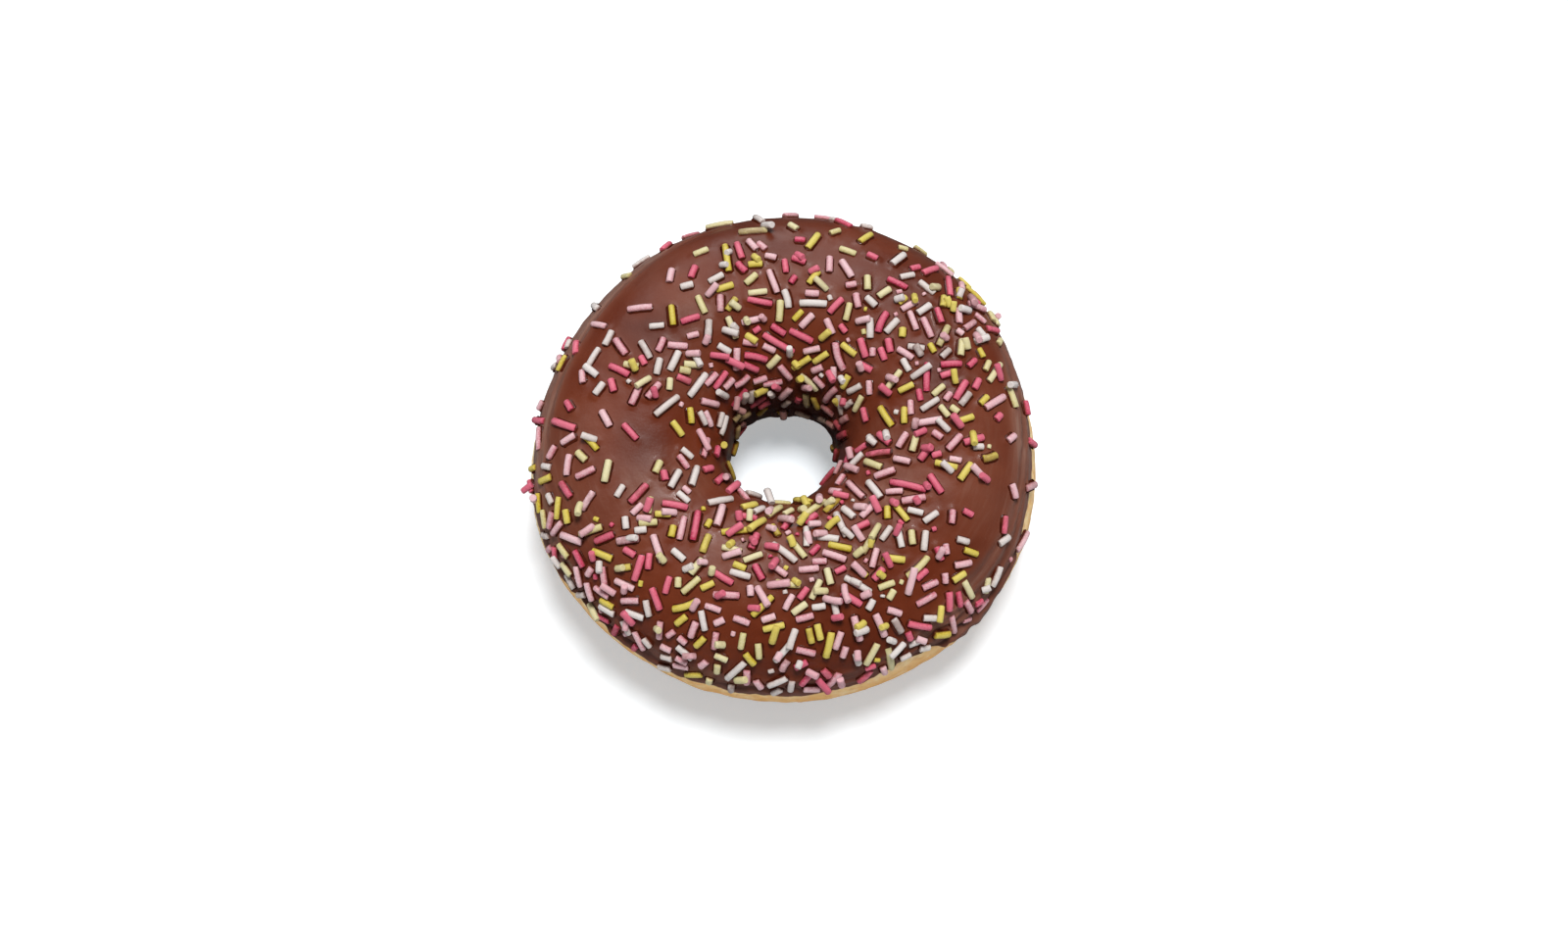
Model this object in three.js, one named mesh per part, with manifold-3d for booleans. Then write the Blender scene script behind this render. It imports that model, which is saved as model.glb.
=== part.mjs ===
// A ring doughnut: fried dough, its top half dipped in chocolate icing and scattered with sugar strands.
// Millimetres, +Z up. The origin is the centre of the flat underside.
//
// Two angles name every place on the ring. "around" goes about +Z from +X. "over" goes about the
// ring's own core: 0 is the outer side, 90 degrees the top, 180 the hole side.

import * as THREE from "three";
import { mergeVertices } from "three/addons/utils/BufferGeometryUtils.js";
import Module from "manifold-3d";

// ---- Driving dimensions ----
const DOUGH_RADIUS = 44.0; // bare dough at its widest
const HOLE_RADIUS = 11.1; // bare dough at the hole's neck
const DOUGH_HEIGHT = 28.0; // from the underside to the top of the dough
const WAIST_HEIGHT = 13.0; // where the ring is widest
const BELLY_DEPTH = 14.0; // how far the lower half would reach below the waist if it weren't flat
const TOP_SQUARENESS = 2.25; // exponent of the upper half's superellipse: 2 is an ellipse
const BELLY_SQUARENESS = 2.2;

const ICING_THICKNESS = 1.5; // over the crown
const SKIRT_THICKNESS = 1.0; // of the icing below the shoulder, where it ran thin
const ICING_GAP = 0.3; // between the icing and the dough that it covers
const SHOULDER = radians(33); // over: where the thick icing steps down to the thin skirt
const SHOULDER_SOFTNESS = radians(5);
const OUTER_EDGE = radians(12); // over: where the icing ends on the outer side
const HOLE_EDGE = radians(206); // over: where it ends inside the hole

// Waves round the ring: how high, how many, and at which angle a crest is. Millimetres for the shape,
// degrees of "over" for the edges and the shoulder.
const OUTLINE_WAVES = [[0.39, 2, 33], [0.43, 3, 81], [0.22, 5, 45]];
const HOLE_WAVES = [[0.5, 1, 152], [0.3, 2, 45], [0.25, 5, 57]];
const HEIGHT_WAVES = [[0.35, 1, 130], [0.3, 2, 15], [0.2, 3, 250]];
const OUTER_EDGE_WAVES = [[1.5, 2, 175], [1.2, 5, 10], [1.0, 9, 20], [0.8, 14, 50]];
const HOLE_EDGE_WAVES = [[2.0, 2, 110], [1.5, 3, 20], [1.5, 7, 75]];
const SHOULDER_WAVES = [[3.0, 2, 100], [2.0, 3, 10], [1.5, 7, 40]];

// Where the icing ran further down the outer side, in degrees: the middle, the reach and the drop.
const ICING_RUNS = [
  { around: 330, reach: 9, drop: 11 },
  { around: 213, reach: 16, drop: 8 },
  { around: 85, reach: 35, drop: 3 },
];

const STRAND_DIAMETER = 1.2;
const STRAND_LENGTH = 2.8; // the median
const LENGTH_SPREAD = 0.31; // of the length's logarithm
const LONGEST_STRAND = 6.6;
const SHORTEST_STRAND = 1.4;
const STRAND_SINK = 0.45; // how deep a strand sits in the icing
const STRANDS_ON_THE_RING = 710; // all of them, down to the shortest
const STRANDS_MADE = 190; // the longest ones, which are laid first
const STRAND_SIDES = 5;
const STRAND_SEED = 24;
const EDGE_MARGIN = radians(4); // over: kept clear of strands at both edges of the icing
const CROSSING_SHARE = 0.4; // how many of the strands that land across another one stay there
const CROSSING_GAP = 0.35; // in diameters: how nearly the two centre lines must meet to cross
const CROSSING_LIFT = 0.85; // in diameters: how far the upper strand is raised where they cross
const BAREST_COVER = 0.05; // the least cover, as a share of the even one
const STEEPEST_COVER = 0.08; // the same on the steepest sides
const MOST_COVER = 4.2; // the thickest cover

// Where the strands fell thickly or thinly, seen from above: the middle and reach of each patch, and
// how much it adds to the even cover or takes away.
const STRAND_PATCHES = [
  { x: 9, y: -21, reach: 9, gain: 2.8 },
  { x: -1, y: -15, reach: 5, gain: 1.4 },
  { x: 28, y: 2, reach: 7, gain: 1.3 },
  { x: 28, y: 23, reach: 8, gain: 0.7 },
  { x: 5, y: 20, reach: 6, gain: 0.5 },
  { x: -8, y: 25, reach: 5, gain: 0.7 },
  { x: -18, y: 8, reach: 6, gain: 1.2 },
  { x: -17, y: -12, reach: 6, gain: 0.5 },
  { x: -20, y: 29, reach: 7, gain: -0.9 },
  { x: -26, y: -3, reach: 6, gain: -0.9 },
  { x: -38, y: 8, reach: 8, gain: -0.7 },
  { x: -10, y: -36, reach: 5, gain: -0.5 },
  { x: 28, y: -13, reach: 6, gain: -1.0 },
  { x: 41, y: -2, reach: 6, gain: -0.9 },
  { x: 11, y: 38, reach: 6, gain: -0.7 },
  { x: -32, y: -18, reach: 5, gain: -0.4 },
  { x: -32, y: 22, reach: 5, gain: -0.5 },
];

// ---- How finely the faces are cut ----
const STEPS_AROUND = 48;
const ICING_STEPS = 12; // over the icing's outside, from edge to edge
const COVERED_STEPS = 8; // over the same stretch, under the icing
const BARE_STEPS = 5; // on each side, from the icing down to the underside

// ---- Shape of the ring ----

function radians(degrees) {
  return (degrees * Math.PI) / 180;
}

function wave(around, waves) {
  return waves.reduce((sum, [size, count, crest]) => sum + size * Math.cos(count * (around - radians(crest))), 0);
}

// A smooth hump: 1 in the middle, falling away past its reach.
function hump(distance, reach) {
  return Math.exp(-((distance / reach) ** 2) / 2);
}

function signedPower(value, exponent) {
  return Math.sign(value) * Math.abs(value) ** exponent;
}

function halfWidthAt(around) {
  return (DOUGH_RADIUS + wave(around, OUTLINE_WAVES) - HOLE_RADIUS - wave(around, HOLE_WAVES)) / 2;
}

// A point of the dough's surface in the plane of one section, and the direction out of it.
function doughSection(around, over) {
  const halfWidth = halfWidthAt(around);
  const core = HOLE_RADIUS + wave(around, HOLE_WAVES) + halfWidth;
  const top = Math.sin(over) >= 0;
  const squareness = top ? TOP_SQUARENESS : BELLY_SQUARENESS;
  const reach = top ? DOUGH_HEIGHT - WAIST_HEIGHT + wave(around, HEIGHT_WAVES) : BELLY_DEPTH;
  const across = signedPower(Math.cos(over), 2 / squareness);
  const up = signedPower(Math.sin(over), 2 / squareness);
  const outward = signedPower(across, squareness - 1) / halfWidth;
  const upward = signedPower(up, squareness - 1) / reach;
  const size = Math.hypot(outward, upward);
  return {
    radius: core + halfWidth * across,
    height: WAIST_HEIGHT + reach * up,
    outward: outward / size,
    upward: upward / size,
  };
}

// A point lifted off the dough by some distance.
function ringPoint(around, over, lift) {
  const at = doughSection(around, over);
  const radius = at.radius + lift * at.outward;
  return new THREE.Vector3(radius * Math.cos(around), radius * Math.sin(around), at.height + lift * at.upward);
}

// Between which two angles "over" the icing lies.
function icingEdges(around) {
  const run = ICING_RUNS.reduce((sum, { around: middle, reach, drop }) => {
    const away = Math.atan2(Math.sin(around - radians(middle)), Math.cos(around - radians(middle)));
    return sum + drop * hump(away, radians(reach));
  }, 0);
  return {
    outer: OUTER_EDGE + radians(wave(around, OUTER_EDGE_WAVES) - run),
    hole: HOLE_EDGE + radians(wave(around, HOLE_EDGE_WAVES)),
  };
}

// How far the icing's surface stands off the dough: thick over the crown, stepping down at the shoulder.
function icingLift(around, over) {
  const shoulder = SHOULDER + radians(wave(around, SHOULDER_WAVES));
  const crownShare = 1 / (1 + Math.exp(-(over - shoulder) / SHOULDER_SOFTNESS));
  return SKIRT_THICKNESS + (ICING_THICKNESS - SKIRT_THICKNESS) * crownShare;
}

// ---- Meshes of the ring ----

// A closed surface from sections of equally many points, which wraps round both ways. Each of its
// four-sided cells is split along the shorter diagonal.
function closedRing(sections) {
  const count = sections[0].length;
  const points = sections.flat();
  const index = [];
  sections.forEach((_, i) => {
    const next = (i + 1) % sections.length;
    for (let j = 0; j < count; j++) {
      const k = (j + 1) % count;
      const [a, b, c, d] = [i * count + j, next * count + j, next * count + k, i * count + k];
      if (points[a].distanceTo(points[c]) < points[b].distanceTo(points[d])) {
        index.push(a, b, c, a, c, d);
      } else {
        index.push(a, b, d, b, c, d);
      }
    }
  });
  return new THREE.BufferGeometry().setFromPoints(points).setIndex(index);
}

function sectionsAround(section) {
  return Array.from({ length: STEPS_AROUND }, (_, i) => section((2 * Math.PI * i) / STEPS_AROUND));
}

function spread(from, to, steps) {
  return Array.from({ length: steps + 1 }, (_, i) => from + ((to - from) * i) / steps);
}

// How far below the waist, as an angle "over", the belly meets the flat underside.
function undersideAngle() {
  return Math.asin((WAIST_HEIGHT / BELLY_DEPTH) ** (BELLY_SQUARENESS / 2));
}

function doughGeometry() {
  const below = undersideAngle();
  return closedRing(
    sectionsAround((around) => {
      const edges = icingEdges(around);
      const overs = [
        ...spread(-below, edges.outer, BARE_STEPS),
        ...spread(edges.outer, edges.hole, COVERED_STEPS).slice(1, -1),
        ...spread(edges.hole, Math.PI + below, BARE_STEPS),
      ];
      return overs.map((over) => ringPoint(around, over, 0));
    }),
  );
}

function icingGeometry() {
  return closedRing(
    sectionsAround((around) => {
      const edges = icingEdges(around);
      const outside = spread(edges.outer, edges.hole, ICING_STEPS);
      const inside = spread(edges.hole, edges.outer, COVERED_STEPS);
      return [
        ...outside.map((over) => ringPoint(around, over, icingLift(around, over))),
        ...inside.map((over) => ringPoint(around, over, ICING_GAP)),
      ];
    }),
  );
}

// ---- Sugar strands ----

// A repeatable draw between 0 and 1.
function drawsFrom(seed) {
  let state = seed;
  return () => {
    state = (Math.imul(state, 1664525) + 1013904223) >>> 0;
    return state / 2 ** 32;
  };
}

// The lengths of all the strands, the longest first.
function strandLengths() {
  const draw = drawsFrom(STRAND_SEED);
  const lengths = Array.from({ length: STRANDS_ON_THE_RING }, () => {
    const bell = (draw() + draw() + draw() - 1.5) * 2;
    const length = STRAND_LENGTH * Math.exp(LENGTH_SPREAD * bell);
    return Math.min(LONGEST_STRAND, Math.max(SHORTEST_STRAND, length));
  });
  return lengths.sort((a, b) => b - a);
}

// How thickly strands lie at a place, as a multiple of the even cover per turn and per degree over.
function coverAt(strand) {
  const { x, y } = strand.centre;
  const patches = STRAND_PATCHES.reduce(
    (sum, patch) => sum + patch.gain * hump(Math.hypot(x - patch.x, y - patch.y), patch.reach),
    1,
  );
  const room = Math.hypot(x, y) / (DOUGH_RADIUS + ICING_THICKNESS);
  return Math.max(patches, BAREST_COVER) * room * Math.max(strand.normal.z, STEEPEST_COVER);
}

// A strand laid on the icing at a place, turned by an angle in the surface.
function laidStrand(around, over, turn, length) {
  const at = doughSection(around, over);
  const along = new THREE.Vector3(-Math.sin(around), Math.cos(around), 0);
  const normal = new THREE.Vector3(at.outward * Math.cos(around), at.outward * Math.sin(around), at.upward);
  const across = new THREE.Vector3().crossVectors(normal, along);
  const centre = ringPoint(around, over, icingLift(around, over) + STRAND_DIAMETER / 2 - STRAND_SINK);
  const axis = along.multiplyScalar(Math.cos(turn)).addScaledVector(across, Math.sin(turn));
  return { centre, axis, normal, length };
}

// True if a strand turned this way would reach past one of the icing's edges.
function reachesPastEdge(around, over, turn, length, edges) {
  const reach = (Math.abs(Math.sin(turn)) * length) / 2 / halfWidthAt(around);
  return over - reach < edges.outer || over + reach > edges.hole;
}

// Where two strands' centre lines come nearest: how far apart, and how far along the first one.
function nearest(a, b) {
  const between = new THREE.Vector3().subVectors(a.centre, b.centre);
  const cosine = a.axis.dot(b.axis);
  const alongA = a.axis.dot(between);
  const alongB = b.axis.dot(between);
  const clamp = (value, limit) => Math.min(limit, Math.max(-limit, value));
  const slant = Math.max(1 - cosine * cosine, 1e-6);
  const first = clamp((cosine * alongB - alongA) / slant, a.length / 2);
  const second = clamp(cosine * first + alongB, b.length / 2);
  const place = clamp(cosine * second - alongA, a.length / 2);
  const apart = between.addScaledVector(a.axis, place).addScaledVector(b.axis, -second).length();
  return { apart, place };
}

// Tips a strand up over one that it crosses, with its far end still in the icing.
function leanOver(strand, place) {
  const half = strand.length / 2;
  const slope = (STRAND_DIAMETER * CROSSING_LIFT) / (Math.abs(place) + half);
  strand.centre.addScaledVector(strand.normal, slope * half);
  strand.axis.addScaledVector(strand.normal, place < 0 ? -slope : slope).normalize();
}

// Lays the strands one by one, the longest first. One that lands against another is drawn again,
// unless it lies properly across a single one: then it may lean over it.
function scatterStrands(count) {
  const draw = drawsFrom(STRAND_SEED + 1);
  const lengths = strandLengths();
  const placed = [];
  while (placed.length < count) {
    const around = 2 * Math.PI * draw();
    const edges = icingEdges(around);
    const from = edges.outer + EDGE_MARGIN;
    const over = from + (edges.hole - EDGE_MARGIN - from) * draw();
    const turn = Math.PI * draw();
    const keep = draw();
    const cross = draw();
    const length = lengths[placed.length];
    if (reachesPastEdge(around, over, turn, length, edges)) continue;
    const strand = laidStrand(around, over, turn, length);
    if (keep * MOST_COVER > coverAt(strand)) continue;
    const touching = placed.map((other) => nearest(strand, other)).filter(({ apart }) => apart < STRAND_DIAMETER);
    if (touching.length > 1) continue;
    if (touching.length === 1) {
      if (cross > CROSSING_SHARE || touching[0].apart > CROSSING_GAP * STRAND_DIAMETER) continue;
      leanOver(strand, touching[0].place);
    }
    placed.push(strand);
  }
  return placed;
}

// A strand is a rod of a few flat sides, as thick as a round one, with one side down in the icing.
function strandGeometry({ centre, axis, normal, length }) {
  const cornerAngle = (2 * Math.PI) / STRAND_SIDES;
  const cornerRadius = (STRAND_DIAMETER / 2) * Math.sqrt(cornerAngle / Math.sin(cornerAngle));
  const rod = new THREE.CylinderGeometry(cornerRadius, cornerRadius, length, STRAND_SIDES);
  rod.rotateY(cornerAngle / 2);
  const side = new THREE.Vector3().crossVectors(normal, axis).normalize();
  const down = new THREE.Vector3().crossVectors(side, axis);
  return rod.applyMatrix4(new THREE.Matrix4().makeBasis(side, axis, down).setPosition(centre));
}

// ---- Joining ----

function solidOf(geometry, wasm) {
  geometry.deleteAttribute("normal");
  geometry.deleteAttribute("uv");
  const merged = mergeVertices(geometry);
  return new wasm.Manifold(
    new wasm.Mesh({
      numProp: 3,
      vertProperties: merged.getAttribute("position").array,
      triVerts: new Uint32Array(merged.getIndex().array),
    }),
  );
}

function geometryOf(solid) {
  const mesh = solid.getMesh();
  const geometry = new THREE.BufferGeometry();
  geometry.setAttribute("position", new THREE.BufferAttribute(mesh.vertProperties, 3));
  return geometry.setIndex(new THREE.BufferAttribute(mesh.triVerts, 1));
}

// The icing with its strands fused on. Only the largest closed skin is kept, which fills any hollow
// sealed between strands and drops any loose scrap.
function frostedIcing(wasm) {
  const strands = scatterStrands(STRANDS_MADE).map((strand) => solidOf(strandGeometry(strand), wasm));
  const joined = strands.reduce((solid, strand) => solid.add(strand), solidOf(icingGeometry(), wasm));
  const skins = joined.decompose().sort((a, b) => b.volume() - a.volume());
  return geometryOf(skins[0]);
}

function namedMesh(name, geometry, colour, roughness) {
  geometry.computeVertexNormals();
  const material = new THREE.MeshStandardMaterial({ color: colour, roughness, metalness: 0 });
  const mesh = new THREE.Mesh(geometry, material);
  mesh.name = name;
  return mesh;
}

const wasm = await Module();
wasm.setup();

const doughnut = new THREE.Group();
doughnut.add(namedMesh("dough_ring", doughGeometry(), "#d9a566", 0.75));
doughnut.add(namedMesh("chocolate_icing", frostedIcing(wasm), "#703b2b", 0.4));

export default doughnut;
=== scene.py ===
"""Looks of a sprinkle frosted doughnut: fried dough, chocolate icing and sugar strands of five colours.

Sizes are in millimetres and degrees, and every mesh is in metres: +Z up, with the origin at the centre of
the flat underside. Two angles name every place on the ring. "around" goes about +Z from +X, and "over" goes
about the ring's own core: 0 is the outer side, 90 degrees the top and 180 degrees the hole side.
"""

import logging
import math
from collections.abc import Callable, Mapping, Sequence
from dataclasses import dataclass
from enum import Enum
from typing import Any

import bpy
import numpy as np
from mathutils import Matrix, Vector, noise


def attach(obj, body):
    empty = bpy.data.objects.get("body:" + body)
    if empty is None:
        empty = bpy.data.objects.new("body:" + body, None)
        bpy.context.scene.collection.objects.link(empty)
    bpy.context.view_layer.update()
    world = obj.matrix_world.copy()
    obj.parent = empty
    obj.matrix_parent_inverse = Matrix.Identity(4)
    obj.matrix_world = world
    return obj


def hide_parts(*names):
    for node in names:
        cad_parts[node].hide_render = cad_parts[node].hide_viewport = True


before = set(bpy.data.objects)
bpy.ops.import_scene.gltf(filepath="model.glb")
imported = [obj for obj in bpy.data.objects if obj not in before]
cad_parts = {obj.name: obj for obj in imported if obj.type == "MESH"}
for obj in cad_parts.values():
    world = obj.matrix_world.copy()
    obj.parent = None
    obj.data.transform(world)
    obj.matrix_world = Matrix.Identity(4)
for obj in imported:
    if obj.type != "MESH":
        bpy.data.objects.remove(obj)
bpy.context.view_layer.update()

LOG = logging.getLogger("doughnut")
MM = 0.001  # metres in a millimetre
VECTOR = "FLOAT_VECTOR"

Waves = Sequence[tuple[float, int, float]]  # how high, how many round the ring, and at what angle a crest is
Humps = Sequence[tuple[float, float, float]]  # how high, how far it reaches, and at what angle round the ring
Patches = Sequence[tuple[float, float, float, float]]  # x, y, how far it reaches, and its gain
Layers = Sequence[tuple[float, float, float]]  # the size of the lumps, the pattern and the height of each
Colour = tuple[float, float, float]
Settings = Mapping[str, Any] | None
Sockets = Mapping[str | int, Any] | None


# ---- Shape of the ring ----


def wave(around: np.ndarray, waves: Waves) -> np.ndarray:
    """Adds up waves round the ring."""
    return sum(size * np.cos(count * (around - math.radians(crest))) for size, count, crest in waves)


def hump(distance: np.ndarray, reach: float) -> np.ndarray:
    """Gives a smooth hump: 1 in the middle, falling away past its reach."""
    return np.exp(-((distance / reach) ** 2) / 2)


def humps_round(around: np.ndarray, humps: Humps) -> np.ndarray:
    """Adds up humps round the ring."""
    return sum(size * hump(turn_between(around, middle), reach) for size, reach, middle in humps)


def smooth(value: np.ndarray) -> np.ndarray:
    """Goes from 0 to 1 and leaves and arrives level."""
    value = np.clip(value, 0, 1)
    return value * value * (3 - 2 * value)


def logistic(value: np.ndarray) -> np.ndarray:
    """Goes from 0 far below zero to 1 far above it."""
    return 1 / (1 + np.exp(-value))


def turn_between(around: np.ndarray, middle: float) -> np.ndarray:
    """Gives how far each angle is from a middle in degrees, the short way round, in degrees."""
    away = np.asarray(around) - math.radians(middle)
    return np.degrees(np.arctan2(np.sin(away), np.cos(away)))


def signed_power(value: np.ndarray, exponent: float) -> np.ndarray:
    """Raises the size of a number to a power and keeps its sign."""
    return np.sign(value) * np.abs(value) ** exponent


def rough(points: np.ndarray, grain: float, pattern: float) -> np.ndarray:
    """Gives smooth noise from -1 to 1.

    Args:
        points: Places in millimetres, as rows of three.
        grain: The size of its lumps in millimetres.
        pattern: Another number gives another pattern.

    Returns:
        One value for each place.
    """
    places = (np.asarray(points) / grain + pattern).reshape(-1, 3)
    values = np.array([noise.noise(place) for place in places.tolist()])
    return values.reshape(np.shape(points)[:-1])


def layered(points: np.ndarray, layers: Layers) -> np.ndarray:
    """Adds up layers of smooth noise."""
    return sum(rough(points, grain, pattern) * height for grain, pattern, height in layers)


@dataclass(frozen=True)
class RingShape:
    """The surface of the dough and the extent of the icing on it, in millimetres and degrees."""

    dough_radius: float = 44.0
    hole_radius: float = 11.1
    section_radius: float = 16.0  # about half of the ring's width, for patterns that follow the section
    dough_height: float = 28.0
    waist_height: float = 13.0
    belly_depth: float = 14.0
    top_squareness: float = 2.25
    belly_squareness: float = 2.2
    icing_thickness: float = 1.5
    skirt_thickness: float = 1.0
    shoulder: float = 33.0
    shoulder_softness: float = 5.0
    outer_edge: float = 12.0
    hole_edge: float = 206.0
    outline_waves: Waves = ((0.39, 2, 33), (0.43, 3, 81), (0.22, 5, 45))
    hole_waves: Waves = ((0.5, 1, 152), (0.3, 2, 45), (0.25, 5, 57))
    height_waves: Waves = ((0.35, 1, 130), (0.3, 2, 15), (0.2, 3, 250))
    outer_edge_waves: Waves = ((1.5, 2, 175), (1.2, 5, 10), (1.0, 9, 20), (0.8, 14, 50))
    hole_edge_waves: Waves = ((2.0, 2, 110), (1.5, 3, 20), (1.5, 7, 75))
    shoulder_waves: Waves = ((3.0, 2, 100), (2.0, 3, 10), (1.5, 7, 40))
    icing_runs: Humps = ((11, 9, 330), (8, 16, 213), (3, 35, 85))  # by how much the icing ran further down
    edge_rises: Humps = (  # by how much higher the outer edge shows than the plain one
        (7.5, 22, 5), (8.0, 15, 184), (7.0, 11, 218), (-2.5, 5, 241), (-1.5, 8, 268),
        (-2.0, 4, 284), (1.2, 6, 298), (-5.0, 5, 312), (6.0, 12, 335),
    )
    outer_tatters: Layers = ((4.0, 9.2, 2.6), (1.6, 2.7, 2.0))  # how uneven the edges show, in degrees "over"
    hole_tatters: Layers = ((4.0, 3.3, 2.6), (1.6, 8.1, 2.0))

    def half_width(self, around: np.ndarray) -> np.ndarray:
        """Gives half of the ring's width from the hole to the outside."""
        outer = self.dough_radius + wave(around, self.outline_waves)
        return (outer - self.hole_radius - wave(around, self.hole_waves)) / 2

    def section(self, around: np.ndarray, over: np.ndarray) -> tuple[np.ndarray, ...]:
        """Finds the dough's surface in the plane of a section.

        Args:
            around: Angles about +Z.
            over: Angles about the core.

        Returns:
            The radius and the height of each point, and the direction out of the surface, outward and upward.
        """
        half = self.half_width(around)
        core = self.hole_radius + wave(around, self.hole_waves) + half
        top = np.sin(over) >= 0
        squareness = np.where(top, self.top_squareness, self.belly_squareness)
        crown = self.dough_height - self.waist_height + wave(around, self.height_waves)
        reach = np.where(top, crown, self.belly_depth)
        across = signed_power(np.cos(over), 2 / squareness)
        up = signed_power(np.sin(over), 2 / squareness)
        outward = signed_power(across, squareness - 1) / half
        upward = signed_power(up, squareness - 1) / reach
        size = np.hypot(outward, upward)
        return core + half * across, self.waist_height + reach * up, outward / size, upward / size

    def point(self, around: np.ndarray, over: np.ndarray, lift: np.ndarray | float = 0.0) -> np.ndarray:
        """Finds points on the dough or some way off it.

        Args:
            around: Angles about +Z.
            over: Angles about the core.
            lift: How far each stands off the dough.

        Returns:
            The points, along a new last axis.
        """
        radius, height, outward, upward = self.section(around, over)
        radius = radius + lift * outward
        return np.stack([radius * np.cos(around), radius * np.sin(around), height + lift * upward], -1)

    def normal(self, around: np.ndarray, over: np.ndarray) -> np.ndarray:
        """Gives the directions out of the dough."""
        _, _, outward, upward = self.section(around, over)
        return np.stack([outward * np.cos(around), outward * np.sin(around), upward], -1)

    def rim(self, around: np.ndarray) -> np.ndarray:
        """Gives places on a level circle as wide as the dough, for noise that runs along an edge."""
        return np.stack([np.cos(around), np.sin(around), np.zeros_like(around)], -1) * self.dough_radius

    def icing_edges(self, around: np.ndarray) -> tuple[np.ndarray, np.ndarray]:
        """Gives the two angles "over" between which the icing lies: the outer one, and the one in the hole."""
        outer = self.outer_edge + wave(around, self.outer_edge_waves) - humps_round(around, self.icing_runs)
        return np.radians(outer), np.radians(self.hole_edge + wave(around, self.hole_edge_waves))

    def ragged_edges(self, around: np.ndarray) -> tuple[np.ndarray, np.ndarray]:
        """Finds the icing's two edges as they show, more uneven than the plain ones.

        Args:
            around: Angles about +Z.

        Returns:
            The angles "over" of the outer edge and of the one in the hole.
        """
        outer, hole = self.icing_edges(around)
        rim = self.rim(around)
        outer = outer + np.radians(humps_round(around, self.edge_rises) + layered(rim, self.outer_tatters))
        return outer, hole + np.radians(layered(rim, self.hole_tatters))

    def icing_lift(self, around: np.ndarray, over: np.ndarray) -> np.ndarray:
        """Finds how far the icing's plain surface stands off the dough.

        Args:
            around: Angles about +Z.
            over: Angles about the core.

        Returns:
            The distance at each place: less on the skirt, below the shoulder.
        """
        shoulder = self.shoulder + wave(around, self.shoulder_waves)
        crown = logistic((np.degrees(over) - shoulder) / self.shoulder_softness)
        return self.skirt_thickness + (self.icing_thickness - self.skirt_thickness) * crown

    def underside(self) -> float:
        """Gives how far below the waist, as an angle "over", the belly meets the flat underside."""
        return math.asin((self.waist_height / self.belly_depth) ** (self.belly_squareness / 2))

    def flow(self, around: np.ndarray, over: np.ndarray, streak: tuple[float, float]) -> np.ndarray:
        """Finds coordinates in which streaks run round the ring.

        Args:
            around: Angles about +Z.
            over: Angles about the core.
            streak: The length and the width of a streak.

        Returns:
            Places as rows of three, where one streak is about one unit each way.
        """
        length, width = streak
        radius = self.dough_radius / length
        place = [radius * np.cos(around), radius * np.sin(around), over * self.section_radius / width]
        return np.stack(place, -1).reshape(-1, 3)


# ---- Meshes ----


def new_piece(name: str, data: bpy.types.ID) -> bpy.types.Object:
    """Puts a mesh, a light or a camera in the scene.

    Args:
        name: The object's name.
        data: What it shows.

    Returns:
        The object, at the origin.
    """
    piece = bpy.data.objects.new(name, data)
    bpy.context.scene.collection.objects.link(piece)
    return piece


def ring_mesh(name: str, points: np.ndarray) -> bpy.types.Mesh:
    """Makes a closed surface that wraps both ways.

    Args:
        name: The mesh's name.
        points: Places in millimetres, as a grid: first around the ring, then over its section.

    Returns:
        The mesh, in metres, with faces of four corners that point outwards.
    """
    around, over = points.shape[:2]
    corner = np.arange(around * over).reshape(around, over)
    beside = np.roll(corner, -1, axis=0)
    faces = np.stack([corner, beside, np.roll(beside, -1, axis=1), np.roll(corner, -1, axis=1)], -1)
    mesh = bpy.data.meshes.new(name)
    mesh.from_pydata((points.reshape(-1, 3) * MM).tolist(), [], faces.reshape(-1, 4).tolist())
    mesh.shade_smooth()
    return mesh


def store(mesh: bpy.types.Mesh, marks: Mapping[str, np.ndarray]) -> None:
    """Stores numbers or vectors on a mesh.

    Args:
        mesh: The mesh.
        marks: By the name of the attribute, rows of three or single numbers, one for each point.
    """
    for name, values in marks.items():
        vector = values.ndim > 1
        attribute = mesh.attributes.new(name, VECTOR if vector else "FLOAT", "POINT")
        attribute.data.foreach_set("vector" if vector else "value", np.asarray(values, np.float32).ravel())


def all_round(steps: int) -> np.ndarray:
    """Gives evenly spread angles once round the ring."""
    return np.arange(steps) * 2 * np.pi / steps


def along_rows(around: np.ndarray, grid: np.ndarray) -> np.ndarray:
    """Repeats the angle of each section along its row of a grid."""
    return np.broadcast_to(around[:, None], grid.shape[:2])


def spread(start: np.ndarray, end: np.ndarray, steps: int) -> np.ndarray:
    """Gives evenly spread values from a start up to, but not at, an end, along a new last axis."""
    return start[..., None] + (end - start)[..., None] * (np.arange(steps) / steps)


# ---- Node trees ----


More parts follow.
